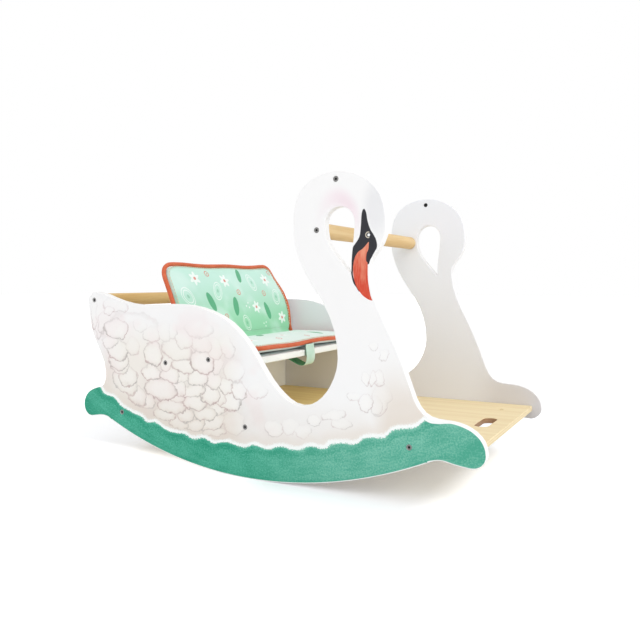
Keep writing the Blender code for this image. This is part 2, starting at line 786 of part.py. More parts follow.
def piping_route():
    """One closed line round both pads, a piping's half thickness outside their seams."""
    offset = PIPING_OFFSET
    radius = PAD_CORNER_RADIUS + offset
    front_x = SEAT_FRONT_X - SEAT_PAD_SETBACK + offset
    bend = PIPING_BEND
    seat_half = SEAT_PAD_WIDTH / 2 + offset
    back_half = BACK_PAD_WIDTH / 2 + offset
    top = FOLD_GAP + BACK_PAD_HEIGHT + offset
    fold = Vector((FOLD_X, 0, SEAM_Z))

    def on_seat(forward, y):
        return Vector((FOLD_X + forward, y, SEAM_Z))

    def on_back(up, y):
        return fold + UP_THE_BACK * up + Vector((0, y, 0))

    reach = front_x - FOLD_X
    seat_corners = rounded_rectangle(2 * reach, 2 * seat_half, [radius] * 4, steps=5)
    back_corners = rounded_rectangle(2 * top, 2 * back_half, [radius] * 4, steps=5)
    thirds = [1 / 3, 2 / 3]
    quarters = [0.25, 0.5, 0.75]
    fifths = [0.2, 0.4, 0.6, 0.8]
    corner = len(seat_corners) // 4
    route = [on_seat(bend, seat_half)]
    route += [on_seat(bend + (reach - radius - bend) * t, seat_half) for t in thirds]
    route += [on_seat(x, y) for x, y in reversed(seat_corners[:corner])]
    route += [on_seat(reach, (seat_half - radius) * (1 - 2 * t)) for t in fifths]
    route += [on_seat(x, y) for x, y in reversed(seat_corners[-corner:])]
    route += [on_seat(reach - radius + (bend - reach + radius) * t, -seat_half) for t in thirds]
    route += [on_seat(bend, -seat_half)]
    start, end = route[-1], on_back(bend, -back_half)
    knee = fold + Vector((0, -seat_half, 0))
    for t in quarters:
        route.append(start.lerp(knee, t).lerp(knee.lerp(end, t), t))
    route.append(end)
    route += [on_back(bend + (top - radius - bend) * t, -back_half) for t in thirds]
    route += [on_back(x, y) for x, y in back_corners[-corner:]]
    route += [on_back(top, (back_half - radius) * (2 * t - 1)) for t in fifths]
    route += [on_back(x, y) for x, y in back_corners[:corner]]
    route += [on_back(top - radius + (bend - top + radius) * t, back_half) for t in thirds]
    start, end = on_back(bend, back_half), route[0]
    knee = fold + Vector((0, seat_half, 0))
    route.append(start)
    for t in quarters:
        route.append(start.lerp(knee, t).lerp(knee.lerp(end, t), t))
    return route


def piping(material):
    """The corded edge of the cushion, one closed tube."""
    curve = bpy.data.curves.new("cushion_piping", "CURVE")
    curve.dimensions = "3D"
    curve.bevel_depth = PIPING_RADIUS
    curve.bevel_resolution = 2
    curve.use_fill_caps = True
    route = piping_route()
    spline = curve.splines.new("POLY")
    spline.points.add(len(route) - 1)
    for point, place_at in zip(spline.points, route):
        point.co = (*place_at, 1.0)
    spline.use_cyclic_u = True
    curve.materials.append(material)
    tube = bpy.data.objects.new("cushion_piping", curve)
    bpy.context.scene.collection.objects.link(tube)
    tube.parent = bpy.data.objects["rocking_swan"]


def strap(strap_material, patch_material):
    """The webbing from the seat pad's front edge, hanging in a loop and gripped below the board."""
    under = SEAT_TOP_Z - SEAT_THICKNESS - FIT
    patch_front = SEAT_FRONT_X - STRAP_GRIP_START
    patch_middle = patch_front - STRAP_GRIP_LENGTH / 2
    patch = box_mesh("strap_patch", (STRAP_GRIP_LENGTH, STRAP_WIDTH, PATCH_THICKNESS))
    patch_z = under - PATCH_THICKNESS / 2
    place("strap_patch", patch, patch_material, location=(patch_middle, STRAP_SHIFT, patch_z))
    grip_z = under - PATCH_THICKNESS - FIT - STRAP_THICKNESS / 2
    front = SEAT_FRONT_X + STRAP_STANDOFF
    lowest = under - STRAP_DROP
    start_z = SEAM_Z - PIPING_RADIUS - FIT
    line = smooth_run(
        [
            (front - STRAP_BELLY, start_z, -90),
            (front + STRAP_BELLY, under, -88),
            (front - STRAP_TURN, lowest, 180),
            (patch_front + STRAP_RISE, (lowest + grip_z) / 2, 160),
            (patch_front, grip_z, 180),
            (patch_front - STRAP_GRIP_LENGTH, grip_z, 180),
        ]
    )
    outline = ribbon_outline(line, STRAP_THICKNESS)
    mesh = prism("seat_strap", outline, STRAP_SHIFT - STRAP_WIDTH / 2, STRAP_SHIFT + STRAP_WIDTH / 2)
    place("seat_strap", mesh, strap_material)


def main():
    for old in list(bpy.data.objects):
        bpy.data.objects.remove(old)
    frame = bpy.data.objects.new("rocking_swan", None)
    bpy.context.scene.collection.objects.link(frame)

    white = finish("printed_white", (0.86, 0.85, 0.84), 0.45)
    board_white = finish("painted_white", (0.88, 0.88, 0.87), 0.5)
    plywood = finish("natural_plywood", (0.78, 0.62, 0.40), 0.55)
    beech = finish("natural_beech", (0.76, 0.57, 0.36), 0.5)
    mint = finish("mint_cloth", (0.55, 0.80, 0.66), 0.9)
    orange = finish("orange_piping", (0.80, 0.27, 0.14), 0.85)
    webbing = finish("pale_green_webbing", (0.62, 0.82, 0.66), 0.85)
    hook_grey = finish("hook_patch", (0.80, 0.82, 0.80), 0.95)
    steel = finish("dark_steel", (0.25, 0.25, 0.26), 0.35, 1.0)
    brass = finish("zinc_insert", (0.70, 0.68, 0.62), 0.35, 1.0)
    pin_wood = finish("beech_pin", (0.78, 0.62, 0.42), 0.6)

    panels = side_panels(white)
    floor = foot_board(plywood)
    seat = seat_board(board_white)
    riser = seat_riser(board_white)
    backrest = backrest_board(board_white)
    crossbar("handlebar", HANDLE_RADIUS, HANDLE_X, HANDLE_Z, beech)
    crossbar("rear_rail", RAIL_RADIUS, RAIL_X, RAIL_Z, beech)
    bar_inserts("handlebar_insert", HANDLE_X, HANDLE_Z, brass)
    bar_inserts("rear_rail_insert", RAIL_X, RAIL_Z, brass)

    bolt = screw_meshes("bolt", BOLT_RADIUS, BOLT_LENGTH, 0.0)
    fasteners("handlebar_bolt", bolt, both_sides([(HANDLE_X, HANDLE_Z)]), steel, panels)
    fasteners("rear_rail_bolt", bolt, both_sides([(RAIL_X, RAIL_Z)]), steel, panels)

    wood_screw = screw_meshes("wood_screw", WOOD_SCREW_RADIUS, WOOD_SCREW_LENGTH, WOOD_SCREW_POINT)
    floor_z = FLOOR_TOP_Z - FLOOR_THICKNESS / 2
    floor_screw_places = [
        (FLOOR_REAR_X + FLOOR_SCREW_REAR_INSET, floor_z),
        (FLOOR_SCREW_MIDDLE_X, floor_z),
        (FLOOR_FRONT_X - FLOOR_SCREW_FRONT_INSET, floor_z),
    ]
    fasteners("floor_board_screw", wood_screw, both_sides(floor_screw_places), steel, panels + [floor])
    seat_middle = ((SEAT_FRONT_X + SEAT_REAR_X) / 2, SEAT_TOP_Z - SEAT_THICKNESS / 2)
    fasteners("seat_board_screw", wood_screw, both_sides([seat_middle]), steel, panels + [seat])
    riser_place = (RISER_MIDDLE_X, SEAT_TOP_Z - RISER_SCREW_DROP)
    fasteners("seat_riser_screw", wood_screw, both_sides([riser_place]), steel, panels + [riser])

    head_screw = screw_meshes("head_screw", HEAD_SCREW_RADIUS, HEAD_SCREW_LENGTH, 0.0)
    head_place = (HEAD_X, HEAD_TOP_Z - HEAD_SCREW_DROP)
    fasteners("head_screw", head_screw, both_sides([head_place]), steel, panels)
    fasteners("head_sleeve", sleeve_meshes(), inward_at(head_place), steel, panels)

    back_screw = screw_meshes("back_screw", WOOD_SCREW_RADIUS, BACKREST_SCREW_LENGTH, WOOD_SCREW_POINT)
    under_seat = SEAT_TOP_Z - SEAT_THICKNESS
    middle_x = (BACKREST_BACK_X + BACKREST_FRONT_X) / 2
    foot_x = middle_x + SEAT_THICKNESS * math.tan(BACKREST_LEAN)
    sink = HEAD_RADIUS * math.sin(BACKREST_LEAN)
    drive = Matrix.Rotation(math.pi - BACKREST_LEAN, 4, "Y")
    back_spots = [
        Matrix.Translation(Vector((foot_x, y, under_seat)) + UP_THE_BACK * sink) @ drive
        for y in (-BACKREST_SCREW_SPACING, 0, BACKREST_SCREW_SPACING)
    ]
    fasteners("backrest_screw", back_screw, back_spots, steel, [seat, backrest])

    pin = pin_meshes()
    shallow = PIN_LENGTH - PIN_SEAT_DEPTH
    upright = [
        Matrix.Translation((RISER_MIDDLE_X, side * PIN_SPACING, FLOOR_TOP_Z - shallow)) for side in (-1, 1)
    ]
    fasteners("riser_pin", pin, upright, pin_wood, [floor, riser])
    level = Matrix.Rotation(math.pi / 2, 4, "Y")
    flat = [
        Matrix.Translation((RISER_FRONT_X - shallow, side * PIN_SPACING, seat_middle[1])) @ level
        for side in (-1, 1)
    ]
    fasteners("seat_pin", pin, flat, pin_wood, [seat, riser])

    cushion(mint)
    piping(orange)
    strap(webbing, hook_grey)


main()
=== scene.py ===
"""The looks of a rocking swan: its prints, woods, cloth and metal, its cushion, and a plain studio.

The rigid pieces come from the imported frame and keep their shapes. This script gives them their finishes and
adds the soft pieces: the folded cushion, its piping and stitches, and the strap below it. Lengths are metres.
"""

import logging
import math
from dataclasses import dataclass
from enum import Enum
from typing import Callable, Dict, List, Optional, Sequence, Tuple, Union

import bmesh
import bpy
from bmesh.types import BMesh, BMVert
from bpy.types import CurveMapping, Material, Mesh, Node, NodeSocket, NodeTree, Object
from mathutils import Matrix, Vector, noise


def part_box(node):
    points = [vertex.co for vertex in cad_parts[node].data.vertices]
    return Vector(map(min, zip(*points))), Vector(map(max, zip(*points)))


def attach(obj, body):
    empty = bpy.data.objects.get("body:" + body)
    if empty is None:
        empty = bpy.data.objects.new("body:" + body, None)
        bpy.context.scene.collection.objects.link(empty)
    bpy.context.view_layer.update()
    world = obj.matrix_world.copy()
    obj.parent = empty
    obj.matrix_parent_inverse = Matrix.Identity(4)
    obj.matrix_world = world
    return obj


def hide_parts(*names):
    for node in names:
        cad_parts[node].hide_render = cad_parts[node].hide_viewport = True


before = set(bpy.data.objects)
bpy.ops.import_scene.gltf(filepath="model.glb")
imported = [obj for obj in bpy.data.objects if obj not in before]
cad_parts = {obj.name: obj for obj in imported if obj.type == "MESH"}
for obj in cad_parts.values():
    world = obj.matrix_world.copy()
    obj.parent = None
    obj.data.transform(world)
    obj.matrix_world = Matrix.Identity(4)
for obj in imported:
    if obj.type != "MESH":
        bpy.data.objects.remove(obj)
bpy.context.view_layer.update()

log = logging.getLogger("rocking_swan")

ROOT = "root"
Colour = Tuple[float, float, float]
Point = Tuple[float, float]
Place = Tuple[float, float, float]
Build = Callable[[BMesh], None]


def from_screen(*parts: int) -> Colour:
    """Turn a screen colour, its parts from 0 to 255, into the linear one that a shader takes."""
    shares = (part / 255 for part in parts)
    return tuple(share / 12.92 if share <= 0.04045 else ((share + 0.055) / 1.055) ** 2.4 for share in shares)


# Shader maths


def operator(operation: str, flipped: bool = False) -> Callable[..., "Value"]:
    """Make a method of Value that adds one Math node.

    Args:
        operation: The node's operation.
        flipped: Whether the other number stands on the left.

    Returns:
        The method.
    """

    def method(value: "Value", other: "Number" = 0.0) -> "Value":
        """Add the node."""
        return value.graph.math(operation, *((other, value) if flipped else (value, other)))

    return method


class Value:
    """A number in a node tree, used in ordinary arithmetic."""

    __add__, __radd__ = operator("ADD"), operator("ADD", flipped=True)
    __sub__, __rsub__ = operator("SUBTRACT"), operator("SUBTRACT", flipped=True)
    __mul__, __rmul__ = operator("MULTIPLY"), operator("MULTIPLY", flipped=True)
    __truediv__, __pow__, __abs__ = operator("DIVIDE"), operator("POWER"), operator("ABSOLUTE")
    sine, root = operator("SINE"), operator("SQRT")
    lower, higher = operator("MINIMUM"), operator("MAXIMUM")

    def __init__(self, graph: "Graph", socket: NodeSocket) -> None:
        """Wrap a socket of a node tree."""
        self.graph, self.socket = graph, socket

    def step(self, start: float, end: float) -> "Value":
        """Go smoothly from 0 at start to 1 at end; start may be the larger.

        Args:
            start: The value that gives 0.
            end: The value that gives 1.

        Returns:
            A value from 0 to 1.
        """
        low, high = sorted((start, end))
        inputs = {"Value": self, "From Min": low, "From Max": high}
        result = self.graph.number("MapRange", inputs, "Result", interpolation_type="SMOOTHSTEP", clamp=False)
        return 1 - result if start > end else result

    def near(self, middle: "Number", half: float, soft: float) -> "Value":
        """Mark a band round a middle with 1, half its width and the width of its fading edge given."""
        return abs(self - middle).step(half + soft, half)


Number = Union[int, float, Value]
Input = Union[Number, Sequence[float], NodeSocket]


class Graph:
    """A node tree, built by calls."""

    def __init__(self, tree: NodeTree) -> None:
        """Take an empty or new tree."""
        self.tree = tree

    def node(self, kind: str, inputs: Dict[object, Input], **settings: object) -> Node:
        """Add a node.

        Args:
            kind: Its type, without the ShaderNode that all the names start with.
            inputs: Numbers, tuples, values or sockets for its sockets, by name or number.
            settings: Its attributes, such as a Math node's operation. "points" fills a float curve.

        Returns:
            The new node.
        """
        made = self.tree.nodes.new("ShaderNode" + kind)
        for key, setting in settings.items():
            if key == "points":
                self._fill_curve(made.mapping, setting)
            else:
                setattr(made, key, setting)
        for key, given in inputs.items():
            self.feed(made.inputs[key], given)
        return made

    def feed(self, socket: NodeSocket, given: Input) -> None:
        """Link a value or socket to a socket, or set a constant on it.

        Args:
            socket: The socket to feed.
            given: What it gets.
        """
        given = given.socket if isinstance(given, Value) else given
        if isinstance(given, NodeSocket):
            self.tree.links.new(given, socket)
        else:
            socket.default_value = (*given, 1.0) if socket.type == "RGBA" else given

    @staticmethod
    def _fill_curve(mapping: CurveMapping, points: Sequence[Point]) -> None:
        """Give a float curve its points.

        Args:
            mapping: The curve node's mapping.
            points: The points, from the first at 0 to the last at 1.
        """
        curve = mapping.curves[0]
        curve.points[0].location, curve.points[-1].location = points[0], points[-1]
        for point in points[1:-1]:
            curve.points.new(*point)
        mapping.update()

    def number(self, kind: str, inputs: Dict[object, Input], output: object = "Value", **settings: object) -> Value:
        """Add a node and take one of its outputs as a number."""
        return Value(self, self.node(kind, inputs, **settings).outputs[output])

    def math(self, operation: str, first: Number, second: Number = 0.0) -> Value:
        """Add one Math node."""
        return self.number("Math", {0: first, 1: second}, operation=operation)

    def place(self) -> Tuple[Value, ...]:
        """Give the X, Y and Z of a point of the object."""
        parts = self.node("SeparateXYZ", {0: self.node("TexCoord", {}).outputs["Object"]})
        return tuple(Value(self, parts.outputs[axis]) for axis in "XYZ")

    def join(self, x: Number, y: Number, z: Number = 0.0) -> NodeSocket:
        """Make a vector of three numbers."""
        return self.node("CombineXYZ", {"X": x, "Y": y, "Z": z}).outputs["Vector"]

    def mix(self, factor: Number, first: Input, second: Input) -> NodeSocket:
        """Blend two colours: 0 gives the first and 1 the second."""
        return self.node("Mix", {0: factor, 6: first, 7: second}, data_type="RGBA").outputs[2]

    def blend(self, factor: Number, first: Number, second: Number) -> Value:
        """Blend two numbers: 0 gives the first and 1 the second."""
        return self.number("Mix", {0: factor, 2: first, 3: second}, 0, data_type="FLOAT")

    def noise(self, where: Input, scale: float, detail: float = 2.0, rough: float = 0.5) -> Value:
        """Give noise from 0 to 1, with scale waves a metre and finer layers as detail and rough say."""
        inputs = {"Vector": where, "Scale": scale, "Detail": detail, "Roughness": rough}
        return self.number("TexNoise", inputs, "Fac")

    def curve(self, value: Value, spots: Sequence[Point]) -> Value:
        """Read a smooth line through given spots.

        Args:
            value: Where to read it.
            spots: The line's (value, result) pairs, in rising order of value.

        Returns:
            The line's result.
        """
        start, end = spots[0][0], spots[-1][0]
        low = min(result for _, result in spots)
        span = max(result for _, result in spots) - low
        points = [((at - start) / (end - start), (result - low) / span) for at, result in spots]
        share = (value - start) / (end - start)
        return self.number("FloatCurve", {"Value": share}, points=points) * span + low


class Brush(Graph):
    """A node group that many strokes share."""

    def __init__(self, name: str, takes: Dict[str, str], gives: Sequence[str]) -> None:
        """Start a group.

        Args:
            name: Its name.
            takes: Its inputs, each name with its socket type.
            gives: The names of its results, all numbers.
        """
        super().__init__(bpy.data.node_groups.new(name, "ShaderNodeTree"))
        for label, kind in takes.items():
            self.tree.interface.new_socket(name=label, in_out="INPUT", socket_type=kind)
        for label in gives:
            self.tree.interface.new_socket(name=label, in_out="OUTPUT", socket_type="NodeSocketFloat")
        self.given = self.tree.nodes.new("NodeGroupInput").outputs
        self.results = self.tree.nodes.new("NodeGroupOutput").inputs

    def value(self, label: str) -> Value:
        """Read one of the group's inputs."""
        return Value(self, self.given[label])


class Paint(Graph):
    """A material with its node tree."""

    def __init__(self, name: str) -> None:
        """Start a material with an empty Principled shader."""
        self.material = bpy.data.materials.new(name)
        self.material.use_nodes = True
        super().__init__(self.material.node_tree)
        self.shader = self.tree.nodes["Principled BSDF"]

    def bump(self, height: Value, depth: float, strength: float) -> None:
        """Raise the surface by a height from 0 to 1 times depth."""
        made = self.node("Bump", {"Strength": strength, "Distance": depth, "Height": height})
        self.feed(self.shader.inputs["Normal"], made.outputs["Normal"])

    def surface(self, colour: Input, roughness: Input, **others: Input) -> Material:
        """Feed the shader.

        Args:
            colour: The base colour.
            roughness: The roughness.
            others: More sockets, their names with underscores for spaces.

        Returns:
            The finished material.
        """
        for name, given in {"Base_Color": colour, "Roughness": roughness, **others}.items():
            self.feed(self.shader.inputs[name.replace("_", " ")], given)
        return self.material


# Finishes


class Grain(Enum):
    """The way that wood grain runs."""

    ALONG_X = "x"
    ALONG_Y = "y"


@dataclass(frozen=True)
class Feather:
    """One painted feather: an ellipse with a pencilled lower rim, in millimetres.

    A negative half_height draws the upper rim instead.
    """

    x: float
    z: float
    half_width: float
    half_height: float
    tilt: float
    strength: float


# How many feathers are painted in one layer, and how far each one spreads over its neighbours
LAYER = 18
SPREAD = 1.12

# The feathers of the wing, tail, belly and breast, from the lowest layer to the topmost
FEATHERS: Tuple[Feather, ...] = tuple(Feather(*row) for row in (
    (-268, 233, 70, -42, 0, 0.16), (-352, 268, 11, 42, -4, 0.45), (-366, 272, 7, 30, -3, 0.65),
    (-340, 262, 13, 24, -22, 0.55), (-310, 290, 32, 13, -5, 0.50), (-326, 280, 14, 7.5, 4, 0.75),
    (-80, 73, 24, 8, 8, 0.7), (-85, 88, 31, 10, 18, 0.8), (-120, 80, 22, 10, 15, 0.8), (-160, 81, 20, 11, -5, 0.8),
    (-38, 92, 21, 18, 0, 0.35), (41, 92, 16, 12, 10, 0.55), (76, 97, 16, 11, 20, 0.3), (101, 93, 15, 10, 25, 0.3),
    (-77, 111, 21, 10, 20, 0.8), (-100, 103, 24, 11, 8, 0.8), (-143, 95, 17, 12, 15, 0.8),
    (-193, 93, 26, 8.5, -4, 0.8), (-175, 109, 31, 12, -3, 0.85), (-166, 127, 16, 9, -10, 0.6),
    (-123, 121, 26, 12.5, 2, 0.9), (-46, 129, 23, 14.5, 5, 0.9), (-68, 135, 13, 13, 30, 0.6),
    (-88, 137, 20, 16, 5, 0.9), (-127, 141, 27, 10, 12, 0.85), (-157, 145, 15, 13, 20, 0.8),
    (-202, 138, 35, 17.5, -2, 0.95), (-27, 150, 15, 16, 0, 0.8), (-54, 156, 14, 13, 0, 0.85),
    (-79, 163, 15, 17, -10, 0.7), (-222, 167, 25, 13.5, 0, 0.9), (-151, 164, 14, 9, 10, 0.5),
    (-115, 165, 22, 14, 0, 0.9), (-178, 166, 22, 14, -12, 0.85), (-187, 188, 13, 13, 0, 0.6),
    (-147, 186, 26, 14, -3, 0.8), (-38, 183, 20, 18, -15, 0.45), (-73, 195, 10, 19, 0, 0.4),
    (-107, 194, 26, 18.5, -5, 0.95), (-218, 202, 21, 20, 0, 0.9), (-162, 214, 31, 19, -5, 0.6),
    (-78, 218, 16, 19, 35, 0.45), (-52, 226, 13, 20, 30, 0.35), (-108, 226, 20, 15, -20, 0.4),
    (-146, 234, 20, 16, -15, 0.45), (-220, 239, 21, 15, 0, 0.5), (-171, 249, 10, 14, 0, 0.35),
    (-190, 244, 13, 19, 10, 0.3), (-112, 252, 29, 14, 0, 0.25), (-240, 115, 23, 12, -5, 0.7),
    (-258, 122, 21, 16, -10, 0.8), (-288, 146, 29, 20, -28, 0.7), (-281, 157, 22, 17, 8, 0.8),
    (-300, 176, 23, 14, 5, 0.6), (-303, 187, 24, 18, 0, 0.75), (-305, 205, 27, 18, 0, 0.85),
    (-268, 213, 15, 15, 5, 0.5), (-327, 221, 17, 13, 0, 0.65), (-308, 246, 28, 18, 0, 0.85),
    (-250, 256, 15, 11, -5, 0.3), (120, 114, 14, 7.5, 8, 0.6), (155, 125, 18, 8.5, 15, 0.55),
    (169, 111, 17, 9, 5, 0.5), (10, 152, 17, 13, 0, 0.4), (190, 157, 9, 6.5, 0, 0.5), (236, 156, 14, 23, -12, 0.45),
    (229, 147, 9, 12, 5, 0.4), (209, 148, 12, 13, 10, 0.7), (211, 186, 6.5, 10, 20, 0.6), (233, 190, 7, 12, 0, 0.7),
    (223, 189, 5.5, 12, 0, 0.7), (239, 223, 8, 7.5, 0, 0.55), (223, 238, 7.5, 5.5, 15, 0.5),
))


@dataclass(frozen=True)
class SwanPrint:
    """White paint with a swan and its water printed on the outer face, and painted shade on the inner faces."""

    outer_y: float = 0.2125
    rocker_radius: float = 0.760
    rocker_x: float = -0.004
    sway: float = 0.0250
    white: Colour = from_screen(247, 246, 245)
    shaded_inside_top: Colour = from_screen(240, 241, 246)
    shaded_inside_low: Colour = from_screen(229, 229, 232)
    shaded_inside_lobe: Colour = from_screen(214, 211, 212)
    cream: Colour = from_screen(238, 230, 217)
    pink: Colour = from_screen(244, 230, 229)
    beige: Colour = from_screen(229, 218, 206)
    outline: Colour = from_screen(186, 158, 156)
    outline_grey: Colour = from_screen(174, 166, 162)
    plume: Colour = from_screen(252, 250, 246)
    shade: Colour = from_screen(226, 226, 228)
    blush: Colour = from_screen(240, 214, 224)
    foam: Colour = from_screen(251, 253, 251)
    water_deep: Colour = from_screen(26, 150, 119)
    water_pale: Colour = from_screen(88, 190, 162)
    water_deep_front: Colour = from_screen(70, 165, 139)
    water_pale_front: Colour = from_screen(130, 200, 178)
    black: Colour = from_screen(42, 42, 48)
    bill: Colour = from_screen(213, 72, 46)
    bill_pale: Colour = from_screen(234, 150, 120)
    eye_ring: Colour = from_screen(205, 196, 178)

    def make(self) -> Material:
        """Mix the print."""
        paint = Paint("swan_print")
        x, y, z = paint.place()
        colour = self._face(paint, x, z, self._water(paint, x, z, self._feathers(paint, x, z)))
        printed = abs(y).step(self.outer_y - 0.00012, self.outer_y - 0.00005)
        inside = abs(y).step(self.outer_y - 0.0138, self.outer_y - 0.0145)
        # Painted shade: the inner faces are a greyer white than the outer one, darker towards the bottom and darker
        # still in the front lobe
        inner = paint.mix(z.step(0.44, 0.11), self.shaded_inside_top, self.shaded_inside_low)
        inner = paint.mix(x.step(0.25, 0.33) * z.step(0.19, 0.12), inner, self.shaded_inside_lobe)
        colour = paint.mix(printed, paint.mix(inside, self.white, inner), colour)
        fine = paint.noise(paint.join(x, y, z), 900, 2)
        paint.bump(fine, 0.00006, 0.6)
        return paint.surface(colour, 0.42 + 0.06 * fine, Specular_IOR_Level=0.35)

    def _tint(self, paint: Paint, x: Value, z: Value) -> NodeSocket:
        """Lay the soft ground tints of the body.

        Args:
            paint: The material.
            x: The point's X.
            z: The point's Z.

        Returns:
            The colour.
        """
        patches = paint.noise(paint.join(x, z), 13, 2)
        belly = x.near(0.085, 0.075, 0.06)
        warm = z.step(0.165, 0.080) * x.step(0.30, 0.16) * (1 - 0.55 * belly)
        rear = x.step(-0.295, -0.335) * z.step(0.22, 0.13)
        breast = x.step(0.200, 0.260) * z.step(0.235, 0.125) * 1.25
        wing = x.step(-0.01, -0.07) * x.step(-0.36, -0.29) * z.step(0.275, 0.20)
        pink = patches.step(0.46, 0.60) * x.step(0.10, -0.02) * z.step(0.31, 0.25)
        colour = paint.mix(0.62 * wing, self.white, self.cream)
        colour = paint.mix(0.48 * pink, colour, self.pink)
        warmth = warm.higher(rear).higher(breast) * (0.70 + 0.9 * (patches - 0.3))
        return paint.mix(warmth.higher(0).lower(1) * 0.76, colour, self.beige)

    def _feathers(self, paint: Paint, x: Value, z: Value) -> NodeSocket:
        """Paint every feather of the table over the ground, in its order.

        Args:
            paint: The material.
            x: The point's X.
            z: The point's Z.

        Returns:
            The colour.
        """
        sway_x = self.sway * (paint.noise(paint.join(x, z), 42, 5, 0.62) - 0.5)
        sway_z = self.sway * (paint.noise(paint.join(x + 3, z), 42, 5, 0.62) - 0.5)
        shade = self._gaps(x, z)
        light: Number = 0.0
        brush = self._feather_brush()
        for index, feather in enumerate(FEATHERS):
            # Each layer leans a little on the one below it, and so the shader also works layer by layer
            if index % LAYER == 0:
                where = paint.join(x + sway_x + 0.0005 * shade, z + sway_z)
            stroke = paint.node("Group", {
                "Where": where,
                "Middle": (feather.x / 1000, feather.z / 1000, 0.0),
                "Turn": (0.0, 0.0, math.radians(feather.tilt)),
                "Size": (SPREAD * feather.half_width / 1000, SPREAD * feather.half_height / 1000, 1.0),
                "Strength": feather.strength,
                "Shade": shade,
                "Light": light,
            }, node_tree=brush.tree)
            shade, light = (Value(paint, stroke.outputs[label]) for label in ("Shade", "Light"))
        uneven = 0.15 + 1.70 * paint.noise(paint.join(x, z), 80, 3, 0.65)
        barbs = paint.noise(paint.join(x * 2.2, z * 0.7), 170, 2).step(0.52, 0.72)
        colour = paint.mix(light * 0.50, self._tint(paint, x, z), self.plume)
        rosy = paint.noise(paint.join(x + 7, z), 30, 1).step(0.40, 0.60)
        ink = paint.mix(rosy, self.outline_grey, self.outline)
        depth = (shade * uneven + 0.10 * barbs * shade.higher(light * 0.5)).lower(1).higher(0)
        return paint.mix(depth * 0.86, colour, ink)

    @staticmethod
    def _feather_brush() -> Brush:
        """Make the stroke that lays one feather over what is below it.

        Returns:
            The group. It takes a place, an ellipse and the shade and light so far, and gives the new ones.
        """
        takes = dict.fromkeys(("Where", "Middle", "Turn", "Size"), "NodeSocketVector")
        takes.update(dict.fromkeys(("Strength", "Shade", "Light"), "NodeSocketFloat"))
        brush = Brush("feather_stroke", takes, ("Shade", "Light"))
        ellipse = {"Vector": "Where", "Location": "Middle", "Rotation": "Turn", "Scale": "Size"}
        inputs = {socket: brush.given[label] for socket, label in ellipse.items()}
        local = brush.node("Mapping", inputs, vector_type="TEXTURE").outputs["Vector"]
        reach = brush.number("VectorMath", {0: local}, operation="LENGTH")
        below = brush.number("VectorMath", {0: local, 1: (0.0, 0.22, 0.0)}, operation="DISTANCE")
        strength = brush.value("Strength")
        inside = reach.step(1.02, 0.97)
        top = (0.8 * strength - 0.28).higher(0.04)
        pencil = reach.step(0.80, 0.965) * brush.blend(below.step(0.80, 1.10), top, 1.0)
        edge = pencil.higher(below.step(0.88, 1.28) * 0.34) * strength
        for label, new in (("Shade", edge), ("Light", reach.step(0.98, 0.40) * strength)):
            brush.feed(brush.results[label], brush.blend(inside, brush.value(label), new))
        return brush

    @staticmethod
    def _gaps(x: Value, z: Value) -> Value:
        """Shade what shows between feathers: mid-tone in the wing, fading to nothing at its top and front."""
        wing = x.step(-0.255, -0.225) * x.step(0.000, -0.040) * z.step(0.245, 0.190)
        under = z.step(0.150, 0.110) * x.step(0.20, 0.05) * x.step(-0.30, -0.26)
        return wing * 0.13 + (1 - wing) * under * 0.07

    def _water(self, paint: Paint, x: Value, z: Value, body: NodeSocket) -> NodeSocket:
        """Lay the wavy band of water along the rocker, with foam above it.

        Args:
            paint: The material.
            x: The point's X.
            z: The point's Z.
            body: The colour that it covers.

        Returns:
            The colour.
        """
        across = x - self.rocker_x
        down = self.rocker_radius - z
        depth = self.rocker_radius - (across * across + down * down).root()
        rim = self._rim(paint, x, z, depth)
        turn = paint.math("ARCTAN2", across, down)
        where = paint.join(x, z)
        sway = paint.noise(where, 16, 2) - 0.5
        speckle = paint.noise(where, 360, 3, 0.75)
        level = 0.0388 + 0.0188 * turn.step(math.radians(-24), math.radians(5))
        crest = abs(((turn + 0.085 * sway) * (math.pi / math.radians(4.35)) + math.pi / 2 - 0.525).sine())
        height = 0.0004 + 0.0062 * paint.noise(where, 15, 1)
        top = level + height * (1.5 * crest * crest - 0.8) + 0.0050 * sway + 0.0120 * (speckle - 0.5)
        over = depth - top
        streak = paint.noise(paint.join(turn * 5, depth * 50), 3.0, 3)
        cloud = paint.noise(where, 24, 2)
        tone = (0.20 * streak + 0.72 * speckle + 0.28 * cloud - 0.10).step(0.33, 0.71)
        fringe = over.step(-0.009, -0.001) * speckle.step(0.40, 0.60)
        rims = over.near(-0.0075, 0.002, 0.006).higher(depth.step(0.008, 0.001))
        forward = turn.step(math.radians(-6), math.radians(18))
        deep = paint.mix(forward, self.water_deep, self.water_deep_front)
        pale = paint.mix(forward, self.water_pale, self.water_pale_front)
        water = paint.mix((tone + 0.45 * fringe - 0.28 * rims).lower(1).higher(0), deep, pale)
        colour = paint.mix(over.step(0.030, 0.006) * 0.42, body, self.beige)
        colour = paint.mix(over.step(0.0088, 0.0036), colour, self.foam)
        return paint.mix(over.step(0.0011, -0.0011) * rim, colour, water)

